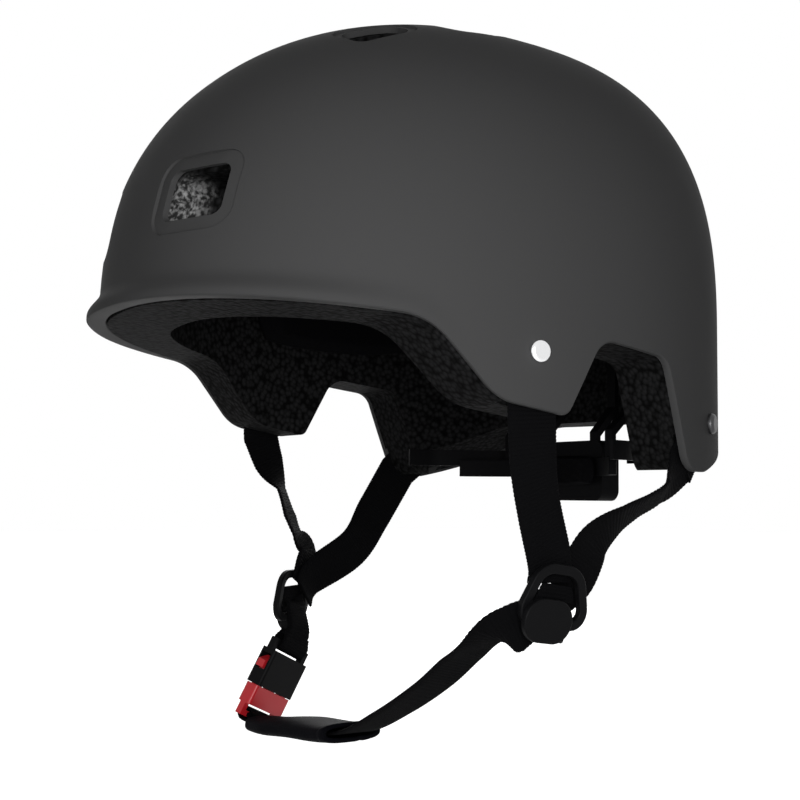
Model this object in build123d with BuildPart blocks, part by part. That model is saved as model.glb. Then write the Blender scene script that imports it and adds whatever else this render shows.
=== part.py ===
from build123d import *
from math import copysign, cos, pi, radians, sin, tan
import os

# Skateboard helmet as worn: the face looks along -Y, the wearer's left is +X and up is +Z.
# The origin is the middle of the crown pad's underside, where the top of the head rests.
# Heights are measured from the belt, the level where the dome is widest.

# Dome of the outer shell: a rounded plan whose reach shrinks with height above the belt
front_length = 148.8
rear_length = 118.9
half_width = 112.3
dome_rise = 128.0
widest_back = 15.0
shell_wall = 3.0
plan_power = 2.25
front_power = 2.35
rear_power = 2.95
side_power = 2.46
section_points = 20
level_angles = (0, 18, 34, 48, 60, 70, 78, 84, 88)

# Rim seen from the side: places along Y, heights and corner radii
rim_slope = 6.2
rim_front_height = -1.7
rim_front_y = -130.0
temple_y = -60.5
lobe_front_y = -35.7
lobe_front_height = -37.1
lobe_back_y = -6.9
lobe_back_height = -41.9
ear_front_y = 9.4
ear_front_height = -12.8
ear_back_y = 44.5
ear_back_height = -17.3
corner_y = 59.2
corner_height = -60.0
temple_radius = 24.0
lobe_front_radius = 22.0
lobe_back_radius = 4.0
ear_front_radius = 11.0
ear_back_radius = 9.0
corner_radius = 9.0

# Notch of the rim at the nape
nape_notch_half = 50.0
nape_notch_height = -34.0
nape_flare_half = 105.0
nape_flare_height = -62.0
nape_notch_radius = 30.0
nape_cut_start = 62.0

# Lip along the front of the rim
brim_reach = 5.0
brim_edge = 2.2
brim_rise = 9.0
brim_fade = 1.2
brim_end_y = -55.0

# Air vents
vent_recess = 0.9
front_vent_x = 40.3
front_vent_height = 37.0
front_vent_width = 27.0
front_vent_tall = 19.5
front_vent_corner = 4.0
front_bezel_margin = 5.0
crown_vent_x = 50.0
crown_vent_front_y = -52.0
crown_vent_middle_y = -8.0
crown_vent_back_y = 36.0
crown_vent_width = 17.0
crown_vent_length = 25.0
crown_vent_corner = 6.0
crown_bezel_margin = 3.5
rear_vent_x = 33.0
rear_vent_height = 52.0
rear_vent_width = 26.0
rear_vent_tall = 16.0
vent_foam_step = 2.0
vent_foam_rise = 5.0

# Foam liner, comfort pads and the dots that hold them
liner_gap = 0.3
foam_wall = 25.0
foam_recess = 1.2
pad_gap = 2.0
dot_radius = 4.0
dot_thick = 0.8
dot_seat = 0.6
crown_pad_thick = 7.0
crown_pad_half_width = 33.0
crown_pad_half_length = 44.0
crown_pad_corner = 22.0
wall_pad_thick = 8.0
brow_pad_height = 28.0
brow_pad_level = 18.0
side_pad_height = 40.0
side_pad_level = 20.0
rear_pad_height = 30.0
rear_pad_level = 14.0
brow_pad_turns = (-44, -24, 0, 24, 44)
side_pad_turns = (66, 77, 89, 101, 112)
rear_pad_turns = (148, 164, 180, 196, 212)
pad_end_share = 0.62
pad_end_thick_share = 0.5
pad_edge_share = 0.8
pad_edge_height_share = 0.72

# Webbing, rivets and washers
webbing_width = 20.0
webbing_thick = 1.5
front_rivet_y = -19.6
front_rivet_height = -19.4
rear_rivet_y = 80.2
rear_rivet_height = -40.3
rear_exit_y = 61.5
rear_exit_height = -57.2
rivet_head_radius = 4.2
rivet_head_rise = 2.2
rivet_head_edge = 0.6
rivet_shank_radius = 1.6
rivet_hole_radius = 1.7
rivet_tail_radius = 2.7
rivet_tail = 1.0
washer_radius = 4.5
washer_thick = 0.8
stack_gap = 0.15
strap_gap = 0.8
strap_end_margin = 7.0
left_front_entry_x = -4.0
right_front_entry_x = -9.0
rear_entry_x = 12.5
rear_entry_y = 11.5
pocket_side = 3.0
pocket_depth = 5.0

# Strap dividers under the ears
left_divider_x = 95.0
left_divider_y = -0.8
left_divider_height = -110.0
left_divider_tilt = -9.0
left_divider_roll = -8.0
right_divider_x = -86.0
right_divider_y = -9.5
right_divider_height = -122.5
right_divider_yaw = 214.0
divider_top_radius = 10.5
divider_top_x = 3.0
divider_top_offset = 4.9
divider_low_radius = 7.0
divider_low_x = 9.0
divider_low_offset = -1.5
divider_thick = 3.0
divider_bar = 3.8
divider_round = 0.7
cam_half_width = 11.3
cam_corner = 8.1
cam_top = 2.6
cam_bottom = -13.6
cam_shift = -4.0
cam_thick = 2.2
cam_gap = 0.35
cam_round = 0.6
cam_axle_drop = -12.0
cam_axle_radius = 1.0
cam_axle_gap = 0.05
cam_barrel_half = 4.6
lug_thick = 2.0
lug_gap = 0.3

# Side-release buckle under the wearer's right ear
buckle_x = -82.5
buckle_y = -22.0
buckle_height = -159.6
buckle_across_shares = (-0.380, 0.842, -0.385)
buckle_facing_shares = (0.920, 0.310, -0.240)
buckle_half_width = 13.5
buckle_thick = 9.0
buckle_wall = 1.7
buckle_round = 1.6
mouth_y = -4.0
socket_end_y = 13.5
slot_width = 3.2
bar_width = 2.5
bar_thick = 3.2
slot_half = 10.6
window_low_y = 3.4
window_high_y = 11.2
plug_thick = 7.6
plug_gap = 0.3
tongue_half = 2.0
tongue_top_y = 8.0
prong_pivot_x = 9.6
prong_pivot_y = -8.6
prong_pivot_radius = 1.8
prong_axle_radius = 1.0
prong_thick = 4.4
prong_gap = 0.35
prong_inner_x = 8.4
prong_outer_x = 11.2
prong_barb_x = 14.6
prong_shoulder_y = 4.0
prong_barb_y = 7.4
prong_tip_y = 10.4
loop_gap = 0.4
loop_reach = 3.8
neck_width_share = 0.8
window_end_share = 0.7
window_width_share = 0.95
front_stop_share = 0.6
rear_stop_share = 0.35
rear_fixed_shares = (0, 0.35, 0.7)
chin_exit_shares = ((-0.78, 0.76, 0.85), (-1.56, 1.25, 1))

# Padded sleeve on the chin strap
sleeve_width = 30.0
sleeve_thick = 8.0
sleeve_bore_width = 23.0
sleeve_bore_thick = 4.0
sleeve_round_share = 0.48
sleeve_stations = 5
strap_steps = 3

# Fit cradle behind the head, with its dial, pinion and two racks
tray_y = 90.0
tray_floor = 3.0
tray_depth = 8.4
tray_half_width = 24.0
tray_half_height = 14.0
tray_height = -58.0
tray_wall = 1.5
tray_corner = 5.0
cover_thick = 2.0
dial_radius = 13.0
dial_thick = 6.5
dial_gap = 0.4
dial_grips = 18
dial_grip_radius = 1.4
dial_round = 1.2
dial_shaft_radius = 3.9
shaft_gap = 0.05
rack_module = 1.5
pinion_teeth = 8
pinion_thick = 4.6
tooth_pitch_share = 0.40
tooth_tip_share = 0.22
tooth_root_share = 0.54
pinion_root_share = 0.36
tooth_tip = 1.2
tooth_root = 1.6
rack_back = 2.0
rack_thick = 4.4
rack_inner = 10.0
rack_end = 37.0
rack_teeth = 6
rack_play = 0.5
arm_bend_x = 49.0
arm_knee_x = 71.0
arm_knee_y = 62.0
arm_end_x = 74.0
arm_end_y = 49.0
arm_thick = 1.6
arm_tall = 8.0
arm_level = -51.0
arm_radius = 20.0
rib_width = 5.0
rib_thick = 2.2
rib_inner_x = 18.0
rib_outer_x = 36.0
rib_knee_height = -40.0
rib_reach_height = -28.0
rib_top_height = -8.0
band_centre_y = 20.0
band_radius = 72.5
band_half_width = 54.0
band_top = -52.6
band_bottom = -60.6
band_thick = 3.0
screw_radius = 1.1
screw_head_radius = 1.9
screw_head_thick = 1.0
screw_length = 4.0
screw_x = 19.5
screw_rise = 11.8
nape_pad_radius = 69.7
nape_pad_thick = 4.0
nape_pad_half = 24.0
nape_pad_top = -51.0
nape_pad_bottom = -65.0
nape_pad_round = 1.6

# Straps: share along the span, drift along X, Y and Z as shares of it, then yaw and tilt of the face
left_front_shares = ((0.33, 0.03, -0.06, 0.0, -5, 0), (0.64, 0.02, -0.05, 0.0, 0, -4))
left_rear_shares = ((0.216, 0.017, 0.021, -0.025, 4, -58), (0.389, 0.019, -0.006, 0.002, 0, -60),
                    (0.562, 0.014, -0.035, 0.033, 0, -52), (0.775, 0.0, -0.048, 0.046, 0, -28))
right_front_shares = ((0.2, -0.03, 0.012, 0.0, 200, 0), (0.394, -0.04, 0.045, 0.002, 232, 0),
                      (0.602, -0.03, 0.039, 0.003, 226, 0), (0.738, -0.025, 0.044, 0.006, 232, 0),
                      (0.88, -0.022, 0.08, 0.012, 218, 0))
right_rear_shares = ((0.342, -0.013, 0.041, -0.049, 185, -20), (0.649, 0.03, 0.055, -0.061, 200, -10))
chin_shares = ((0.054, 0.003, -0.021, -0.003, 0, -12), (0.159, 0.008, -0.010, -0.020, 0, -25),
               (0.285, 0.018, 0.0, -0.049, 0, -32), (0.448, 0.027, 0.004, -0.075, 0, -42),
               (0.621, 0.031, 0.004, -0.087, 0, -72), (0.818, 0.015, 0.003, -0.043, 0, -90),
               (0.918, 0.008, -0.002, -0.023, 200, -78), (0.965, 0.004, -0.002, -0.012, 205, -74))

# One overrun for every cut
overrun = 10.0

os.makedirs("parts", exist_ok=True)

cavity_inset = shell_wall + liner_gap + foam_wall
pad_inset = cavity_inset + pad_gap
belt_z = -(dome_rise - pad_inset - crown_pad_thick)
floor_height = corner_height - overrun
strap_inset = shell_wall + strap_gap + webbing_thick / 2
left, right = 1, -1


def save(name, builder):
    """Label a finished piece and write it under its node name."""
    builder.part.label = name
    export_step(builder.part, f"parts/{name}.step")


# Dome surfaces
def reach(length, power, height, inset):
    """Half size of the dome's plan at a height above the belt."""
    share = max(height, 0) / (dome_rise - inset)
    return (length - inset) * (1 - share ** power) ** (1 / power)


def plan_point(turn, height, inset):
    """Point of the plan curve; turn runs from the front round the wearer's left, in degrees."""
    ahead = cos(radians(turn))
    aside = sin(radians(turn))
    length = front_length if ahead > 0 else rear_length
    power = front_power if ahead > 0 else rear_power
    x = reach(half_width, side_power, height, inset) * copysign(abs(aside) ** (2 / plan_power), aside)
    y = reach(length, power, height, inset) * copysign(abs(ahead) ** (2 / plan_power), ahead)
    return x, widest_back - y


def dome(inset):
    """Solid dome, the outer shell's shape drawn in by an inset on every side."""
    heights = [floor_height, floor_height / 2]
    heights += [(dome_rise - inset) * sin(radians(angle)) for angle in level_angles]
    turns = [360 * i / section_points for i in range(section_points)]
    with BuildPart() as body:
        for height in heights:
            with BuildSketch(Plane.XY.offset(belt_z + height)):
                with BuildLine():
                    Spline(*[plan_point(turn, height, inset) for turn in turns], periodic=True)
                make_face()
        loft()
    return body.part


def wall_x(y):
    """Half width of the shell below the belt at a station along Y."""
    length = front_length if y < widest_back else rear_length
    return half_width * (1 - (abs(y - widest_back) / length) ** plan_power) ** (1 / plan_power)


def wall_plane(y, height, inset, side):
    """Plane on one side's wall, its normal pointing out and its own y axis up."""
    slope = (wall_x(y + shell_wall) - wall_x(y - shell_wall)) / (2 * shell_wall)
    normal = Vector(side, -slope, 0).normalized()
    point = Vector(side * wall_x(y), y, belt_z + height) - normal * inset
    return Plane(origin=point, x_dir=(-normal.Y, normal.X, 0), z_dir=normal)


side_plane = Plane(origin=(0, 0, belt_z), x_dir=(0, 1, 0), z_dir=(1, 0, 0))
face_plane = Plane(origin=(0, 0, belt_z), x_dir=(1, 0, 0), z_dir=(0, -1, 0))
back_plane = Plane(origin=(0, 0, belt_z), x_dir=(-1, 0, 0), z_dir=(0, 1, 0))
level_plane = Plane(origin=(0, 0, belt_z), x_dir=(1, 0, 0), z_dir=(0, 0, 1))


# Space below the rim, which trims the shell and the foam
def under_rim(raised):
    """Solid that fills everything under the rim line, lifted by a recess."""
    drop = tan(radians(rim_slope))
    front_y = -front_length - overrun
    front_height = rim_front_height - drop * (front_y - rim_front_y)
    temple_height = rim_front_height - drop * (temple_y - rim_front_y)
    back_y = rear_length + widest_back + overrun
    low = floor_height - overrun
    line = [(front_y, front_height), (temple_y, temple_height), (lobe_front_y, lobe_front_height),
            (lobe_back_y, lobe_back_height), (ear_front_y, ear_front_height),
            (ear_back_y, ear_back_height), (corner_y, corner_height), (back_y, corner_height)]
    radii = [temple_radius, lobe_front_radius, lobe_back_radius, ear_front_radius, ear_back_radius,
             corner_radius]
    notch = [(-nape_flare_half, nape_flare_height), (-nape_notch_half, nape_notch_height),
             (nape_notch_half, nape_notch_height), (nape_flare_half, nape_flare_height)]
    with BuildPart() as space:
        with BuildSketch(side_plane.offset(0)):
            with Locations((0, raised)):
                with BuildLine():
                    FilletPolyline(*line, radius=radii)
                    Polyline(line[-1], (back_y, low), (front_y, low), line[0])
                make_face()
        extrude(amount=half_width + overrun, both=True)
        with BuildSketch(back_plane.offset(nape_cut_start)):
            with Locations((0, raised)):
                with BuildLine():
                    FilletPolyline(*notch, radius=nape_notch_radius)
                    Polyline(notch[-1], (nape_flare_half, low), (-nape_flare_half, low), notch[0])
                make_face()
        extrude(amount=rear_length)
    return space.part


def vent_prisms(front_grow, crown_grow, lift):
    """Straight prisms through the front, crown and rear vents, grown by a margin."""
    front_tall = front_vent_tall + 2 * front_grow - lift
    front_centre = front_vent_height + lift / 2
    with BuildPart() as prisms:
        with BuildSketch(face_plane):
            with Locations((front_vent_x, front_centre), (-front_vent_x, front_centre)):
                RectangleRounded(front_vent_width + 2 * front_grow, front_tall,
                                 front_vent_corner + max(front_grow / 2, 0))
        extrude(amount=front_length + overrun)
        with BuildSketch(level_plane):
            for y in (crown_vent_front_y, crown_vent_middle_y, crown_vent_back_y):
                with Locations((crown_vent_x, y), (-crown_vent_x, y)):
                    RectangleRounded(crown_vent_width + 2 * crown_grow, crown_vent_length + 2 * crown_grow,
                                     crown_vent_corner + max(crown_grow, 0))
        extrude(amount=dome_rise + overrun)
        with BuildSketch(back_plane):
            with Locations((rear_vent_x, rear_vent_height), (-rear_vent_x, rear_vent_height)):
                RectangleRounded(rear_vent_width + 2 * crown_grow, rear_vent_tall + 2 * crown_grow,
                                 front_vent_corner + max(crown_grow, 0))
        extrude(amount=rear_length + widest_back + overrun)
    return prisms.part


outer_dome = dome(0)
inner_dome = dome(shell_wall)
recess_dome = dome(vent_recess)
rim_space = under_rim(0)
vent_holes = vent_prisms(0, 0, 0)


# Flared lip that follows the front of the rim
def brim_outline(out):
    """Front half of the plan, let out by a reach and closed by a chord."""
    points = []
    for i in range(section_points + 1):
        turn = 180 * i / section_points - 90
        ahead = cos(radians(turn)) ** (2 / plan_power)
        aside = copysign(abs(sin(radians(turn))) ** (2 / plan_power), turn)
        points.append(((half_width - brim_fade) * aside, -(front_length + out) * ahead))
    return points


rim_drop = tan(radians(rim_slope)) * (widest_back - rim_front_y)
brim_plane = Plane(origin=(0, widest_back, belt_z + rim_front_height - rim_drop), x_dir=(1, 0, 0),
                   z_dir=(0, sin(radians(rim_slope)), cos(radians(rim_slope))))
brim_profile = ((0, brim_reach), (brim_edge, brim_reach), (2 * brim_edge, brim_reach / 3),
                (brim_rise, -brim_fade))
with BuildPart() as brim:
    for rise, out in brim_profile:
        with BuildSketch(brim_plane.offset(rise)):
            with BuildLine():
                curve = Spline(*brim_outline(out))
                Line(curve @ 1, curve @ 0)
            make_face()
    loft(ruled=True)
    with Locations((0, brim_end_y, belt_z)):
        Box(2 * half_width, front_length, 2 * dome_rise, align=(Align.CENTER, Align.MIN, Align.CENTER),
            mode=Mode.SUBTRACT)

with BuildPart() as vent_recesses:
    add(vent_prisms(front_bezel_margin, crown_bezel_margin, 0))
    add(recess_dome, mode=Mode.SUBTRACT)

rivet_places = ((front_rivet_y, front_rivet_height), (rear_rivet_y, rear_rivet_height))

with BuildPart() as outer_shell:
    add(outer_dome)
    add(brim.part)
    add(inner_dome, mode=Mode.SUBTRACT)
    add(rim_space, mode=Mode.SUBTRACT)
    add(vent_recesses.part, mode=Mode.SUBTRACT)
    add(vent_holes, mode=Mode.SUBTRACT)
    for side in (left, right):
        for y, height in rivet_places:
            with BuildSketch(wall_plane(y, height, 2 * shell_wall, side)):
                Circle(rivet_hole_radius)
            extrude(amount=4 * shell_wall, mode=Mode.SUBTRACT)
save("outer_shell", outer_shell)

# Foam liner, with channels behind the vents and pockets for the strap ends
pocket_radius = webbing_width / 2 + pocket_side
pocket_runs = ((front_rivet_y, front_rivet_height, front_rivet_y, lobe_back_height),
               (rear_rivet_y, rear_rivet_height, rear_exit_y, rear_exit_height))
with BuildPart() as foam_liner:
    add(dome(shell_wall + liner_gap))
    add(dome(cavity_inset), mode=Mode.SUBTRACT)
    add(under_rim(foam_recess), mode=Mode.SUBTRACT)
    add(vent_prisms(-vent_foam_step, -vent_foam_step, vent_foam_rise), mode=Mode.SUBTRACT)
    for side in (left, right):
        for y, height, exit_y, exit_height in pocket_runs:
            with BuildSketch(wall_plane(y, height, 0, side)):
                Circle(pocket_radius)
                with Locations((side * (exit_y - y), exit_height - height)):
                    Circle(pocket_radius)
                make_hull()
            extrude(amount=-shell_wall - pocket_depth, mode=Mode.SUBTRACT)
save("foam_liner", foam_liner)


# Rivets and washers
def rivet(plane):
    """Domed rivet through shell, webbing and washer; z runs out of the wall."""
    tail_top = -shell_wall - strap_gap - webbing_thick - washer_thick - 2 * stack_gap
    with BuildPart() as body:
        with BuildSketch(Plane.XY.offset(tail_top - rivet_tail)):
            Circle(rivet_tail_radius)
        extrude(amount=rivet_tail)
        with BuildSketch(Plane.XY.offset(tail_top)):
            Circle(rivet_shank_radius)
        extrude(amount=stack_gap - tail_top)
        with BuildSketch(Plane.XY.offset(stack_gap)):
            Circle(rivet_head_radius)
        extrude(amount=rivet_head_rise)
        fillet(body.edges().sort_by(Axis.Z)[-1], radius=rivet_head_rise - rivet_head_edge)
    return plane.location * body.part


def washer(plane):
    """Flat ring on the rivet's inner end."""
    depth = shell_wall + strap_gap + webbing_thick + stack_gap + washer_thick
    with BuildPart() as body:
        with BuildSketch(Plane.XY.offset(-depth)):
            Circle(washer_radius)
            Circle(rivet_hole_radius, mode=Mode.SUBTRACT)
        extrude(amount=washer_thick)
    return plane.location * body.part


with BuildPart() as front_rivets:
    for side in (left, right):
        add(rivet(wall_plane(front_rivet_y, front_rivet_height, 0, side)))
save("front_rivets", front_rivets)

with BuildPart() as rear_rivets:
    for side in (left, right):
        add(rivet(wall_plane(rear_rivet_y, rear_rivet_height, 0, side)))
save("rear_rivets", rear_rivets)

with BuildPart() as rivet_washers:
    for side in (left, right):
        for y, height in rivet_places:
            add(washer(wall_plane(y, height, 0, side)))
save("rivet_washers", rivet_washers)


# Comfort pads along the foam's inner wall
def inner_point(turn, level, inset):
    """Point on a dome surface as a vector."""
    x, y = plan_point(turn, level, inset)
    return Vector(x, y, belt_z + level)


def inner_frame(turn, level, inset):
    """Plane across the inner wall, x pointing level into the head space and y up, and the wall's normal."""
    ahead = (inner_point(turn + 1, level, inset) - inner_point(turn - 1, level, inset)).normalized()
    rise = (inner_point(turn, level + dot_thick, inset) - inner_point(turn, level - dot_thick, inset)).normalized()
    inward = Vector(-ahead.Y, ahead.X, 0)
    plane = Plane(origin=inner_point(turn, level, inset), x_dir=inward, z_dir=ahead)
    return plane, rise.cross(ahead).normalized()


def wall_pad(turns, level, tall):
    """Cushion with a D section, swept along the wall by lofting."""
    with BuildPart() as pad:
        for i, turn in enumerate(turns):
            at_end = i in (0, len(turns) - 1)
            half = tall / 2 * (pad_end_share if at_end else 1)
            bulge = wall_pad_thick * (pad_end_thick_share if at_end else 1)
            plane, normal = inner_frame(turn, level, pad_inset)
            middle = inner_point(turn, level, pad_inset)
            back = []
            for height in (-half, 0, half):
                there = inner_point(turn, level + height, pad_inset)
                back.append(((there - middle).dot(plane.x_dir), height))
            low = (back[0][0] + bulge * pad_edge_share, -half * pad_edge_height_share)
            high = (back[2][0] + bulge * pad_edge_share, half * pad_edge_height_share)
            with BuildSketch(plane):
                with BuildLine():
                    Spline(*back)
                    Spline(back[0], low, (bulge, 0), high, back[2])
                make_face()
        loft()
    return pad.part


for name, turns, level, tall in (
        ("brow_pad", brow_pad_turns, brow_pad_level, brow_pad_height),
        ("left_side_pad", side_pad_turns, side_pad_level, side_pad_height),
        ("right_side_pad", [-turn for turn in side_pad_turns], side_pad_level, side_pad_height),
        ("rear_pad", rear_pad_turns, rear_pad_level, rear_pad_height)):
    with BuildPart() as pad:
        add(wall_pad(turns, level, tall))
    save(name, pad)

with BuildPart() as crown_pad:
    with BuildSketch(Plane.XY.offset(-crown_pad_thick)):
        RectangleRounded(2 * crown_pad_half_width, 2 * crown_pad_half_length, crown_pad_corner)
    extrude(amount=3 * crown_pad_thick)
    add(dome(pad_inset), mode=Mode.INTERSECT)
    add(dome(pad_inset + crown_pad_thick), mode=Mode.SUBTRACT)
save("crown_pad", crown_pad)

with BuildPart() as pad_dots:
    for turn, level in ((-24, brow_pad_level), (24, brow_pad_level), (89, side_pad_level),
                        (-89, side_pad_level), (164, rear_pad_level), (196, rear_pad_level)):
        plane, normal = inner_frame(turn, level, cavity_inset)
        with BuildSketch(Plane(origin=plane.origin + normal * dot_seat, z_dir=normal)):
            Circle(dot_radius)
        extrude(amount=dot_thick)
    with BuildSketch(Plane.XY.offset(crown_pad_thick + dot_seat)):
        Circle(dot_radius)
    extrude(amount=dot_thick)
save("pad_dots", pad_dots)


# Webbing
def facing(yaw, tilt):
    """Direction a face looks in, from its angles."""
    level = cos(radians(tilt))
    return Vector(cos(radians(yaw)) * level, sin(radians(yaw)) * level, sin(radians(tilt)))


def drape(start, end, shares):
    """Stations between two points of a hanging strap."""
    span = end - start
    rows = []
    for along, drift_x, drift_y, drift_z, yaw, tilt in shares:
        drift = Vector(drift_x, drift_y, drift_z) * span.length
        rows.append((start + span * along + drift, facing(yaw, tilt), 1, 1))
    return rows


def eased(rows):
    """Stations filled in between others so that a strap bends evenly."""
    filled = []
    for i in range(len(rows) - 1):
        before, here, there, after = (rows[min(max(i + k, 0), len(rows) - 1)] for k in (-1, 0, 1, 2))
        for k in range(strap_steps):
            t = k / strap_steps
            point = here[0] * (2 * t ** 3 - 3 * t ** 2 + 1) + there[0] * (3 * t ** 2 - 2 * t ** 3)
            point += (there[0] - before[0]) / 2 * (t ** 3 - 2 * t ** 2 + t)
            point += (after[0] - here[0]) / 2 * (t ** 3 - t ** 2)
            face = here[1] * (1 - t) + there[1] * t
            filled.append((point, face, here[2] * (1 - t) + there[2] * t, here[3] * (1 - t) + there[3] * t))
    return filled + [rows[-1]]


def strap_planes(rows):
    """Cross planes of a strap: x along its width, z along its run."""
    planes = []
    for i, row in enumerate(rows):
        before = rows[max(i - 1, 0)][0]
        after = rows[min(i + 1, len(rows) - 1)][0]
        ahead = (after - before).normalized()
        planes.append(Plane(origin=row[0], x_dir=row[1].cross(ahead).normalized(), z_dir=ahead))
    return planes


def ribbon(rows):
    """Webbing lofted through stations of point, outer face, width share and thickness share."""
    with BuildPart() as strap:
        for plane, row in zip(strap_planes(rows), rows):
            with BuildSketch(plane):
                Rectangle(webbing_width * row[2], webbing_thick * row[3])
        loft(ruled=True)
    return strap.part


def angled_plane(x, y, height, yaw, tilt, roll):
    """Plane of a divider: z out, y up, then rolled about z."""
    out = facing(yaw, tilt)
    across = Vector(0, 0, 1).cross(out).normalized()
    rolled = across * cos(radians(roll)) + out.cross(across) * sin(radians(roll))
    return Plane(origin=(x, y, belt_z + height), x_dir=rolled, z_dir=out)


left_divider_plane = angled_plane(left_divider_x, left_divider_y, left_divider_height, 0,
                                  left_divider_tilt, left_divider_roll)
right_divider_plane = angled_plane(right_divider_x, right_divider_y, right_divider_height,
                                   right_divider_yaw, 0, 0)
front_layer = -webbing_thick / 2 - cam_gap
rear_layer = front_layer - webbing_thick - strap_gap
window_layer = webbing_thick / 2 + cam_gap
divider_top = divider_top_offset + divider_top_radius
strap_stop = divider_top / 2
rivet_hole_depth = 3 * webbing_thick


def place(plane, x, y, z, width_share=1, thick_share=1):
    """Station at a place in a plane, its outer face along the plane's normal."""
    return plane.from_local_coords(Vector(x, y, z)), plane.z_dir, width_share, thick_share


def wall_station(y, height, side):
    """Station of webbing lying against the inside of the shell."""
    plane = wall_plane(y, height, strap_inset, side)
    return plane.origin, plane.z_dir, 1, 1


def rear_run(share, side):
    """Station a share of the way from the rear rivet to where the strap leaves the shell."""
    y = rear_rivet_y + (rear_exit_y - rear_rivet_y) * share
    height = rear_rivet_height + (rear_exit_height - rear_rivet_height) * share
    return wall_station(y, height, side)


rear_run_length = abs(rear_exit_y - rear_rivet_y) + abs(rear_exit_height - rear_rivet_height)
rear_end_share = -strap_end_margin / rear_run_length
front_straps = (("left_front_strap", left, left_divider_plane, left_front_shares, left_front_entry_x),
                ("right_front_strap", right, right_divider_plane, right_front_shares, right_front_entry_x))
for name, side, plane, shares, entry_x in front_straps:
    top = wall_station(front_rivet_y, front_rivet_height + strap_end_margin, side)
    leave = wall_station(front_rivet_y, lobe_back_height, side)
    entry = place(plane, entry_x, divider_top, front_layer)
    stop = place(plane, entry_x * front_stop_share, strap_stop, front_layer)
    with BuildPart() as strap:
        add(ribbon([top] + eased([leave] + drape(leave[0], entry[0], shares) + [entry, stop])))
        with BuildSketch(wall_plane(front_rivet_y, front_rivet_height, strap_inset + rivet_hole_depth, side)):
            Circle(rivet_hole_radius)
        extrude(amount=2 * rivet_hole_depth, mode=Mode.SUBTRACT)
    save(name, strap)

for name, side, plane, shares in (("left_rear_strap", left, left_divider_plane, left_rear_shares),
                                  ("right_rear_strap", right, right_divider_plane, right_rear_shares)):
    wall_rows = [rear_run(share, side) for share in (rear_end_share, *rear_fixed_shares)]
    leave = rear_run(1, side)
    entry = place(plane, side * rear_entry_x, rear_entry_y, rear_layer)
    stop = place(plane, side * rear_entry_x * rear_stop_share, strap_stop / 2, rear_layer)
    with BuildPart() as strap:
        add(ribbon(wall_rows + eased([leave] + drape(leave[0], entry[0], shares) + [entry, stop])))
        with BuildSketch(wall_plane(rear_rivet_y, rear_rivet_height, strap_inset + rivet_hole_depth, side)):
            Circle(rivet_hole_radius)
        extrude(amount=2 * rivet_hole_depth, mode=Mode.SUBTRACT)
    save(name, strap)


# Dividers and their cam flaps, drawn once in a divider's own plane
def divider_outline(inset):
    """Rounded triangle of the divider, drawn in by an inset."""
    with Locations((divider_top_x, divider_top_offset), (-divider_top_x, divider_top_offset)):
        Circle(divider_top_radius - inset)
    with Locations((divider_low_x, divider_low_offset), (-divider_low_x, divider_low_offset)):
        Circle(divider_low_radius - inset)
    make_hull()


mid_thick = divider_thick / 2
ring_bottom = divider_low_offset - divider_low_radius
with BuildPart() as divider_shape:
    with BuildSketch():
        divider_outline(0)
    extrude(amount=divider_thick)
    with BuildSketch():
        divider_outline(divider_bar)
    extrude(amount=divider_thick, mode=Mode.SUBTRACT)
    fillet(divider_shape.edges().filter_by(Axis.Z, reverse=True), radius=divider_round)
    for side in (left, right):
        with BuildSketch(Plane.YZ.offset(side * (cam_barrel_half + lug_gap))):
            with Locations((cam_axle_drop, mid_thick), (ring_bottom + mid_thick, mid_thick)):
                Circle(mid_thick)
            make_hull()
        extrude(amount=side * lug_thick)
    with BuildSketch(Plane.YZ):
        with Locations((cam_axle_drop, mid_thick)):
            Circle(cam_axle_radius + cam_axle_gap)
    extrude(amount=cam_half_width, both=True, mode=Mode.SUBTRACT)

with BuildPart() as cam_shape:
    with BuildSketch(Plane.XY.offset(divider_thick + cam_gap)):
        with Locations((cam_shift + cam_half_width - cam_corner, (cam_top + cam_bottom) / 2),
                       (cam_shift + cam_corner - cam_half_width, (cam_top + cam_bottom) / 2)):
            Circle(cam_corner)
        make_hull()
    extrude(amount=cam_thick)
    fillet(cam_shape.faces().sort_by(Axis.Z)[-1].edges(), radius=cam_round)
    with BuildSketch(Plane.YZ):
        with Locations((cam_axle_drop, mid_thick)):
            Circle(mid_thick)
        with Locations((cam_axle_drop, divider_thick + cam_gap)):
            Rectangle(2 * cam_axle_radius, cam_thick / 2)
        make_hull()
    extrude(amount=cam_barrel_half, both=True)
    with BuildSketch(Plane.YZ):
        with Locations((cam_axle_drop, mid_thick)):
            Circle(cam_axle_radius)
    extrude(amount=cam_barrel_half + lug_thick, both=True)

for name, shape, plane in (("left_divider", divider_shape, left_divider_plane),
                           ("right_divider", divider_shape, right_divider_plane),
                           ("left_cam_flap", cam_shape, left_divider_plane),
                           ("right_cam_flap", cam_shape, right_divider_plane)):
    with BuildPart() as piece:
        add(plane.location * shape.part)
    save(name, piece)

# Side-release buckle: x across, y up along it and z out of the face nearer the chin
buckle_plane = Plane(origin=(buckle_x, buckle_y, belt_z + buckle_height), x_dir=buckle_across_shares,
                     z_dir=buckle_facing_shares)
socket_bar_y = socket_end_y + slot_width
plug_top_y = mouth_y - plug_gap
plug_end_y = -socket_end_y
cavity_half = buckle_half_width - buckle_wall
cavity_depth = buckle_thick / 2 - buckle_wall


def block(half_x, low_y, high_y, half_z, mode=Mode.ADD):
    """Box centred across the buckle and through its thickness."""
    with Locations((0, (low_y + high_y) / 2, 0)):
        Box(2 * half_x, high_y - low_y, 2 * half_z, mode=mode)


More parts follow.
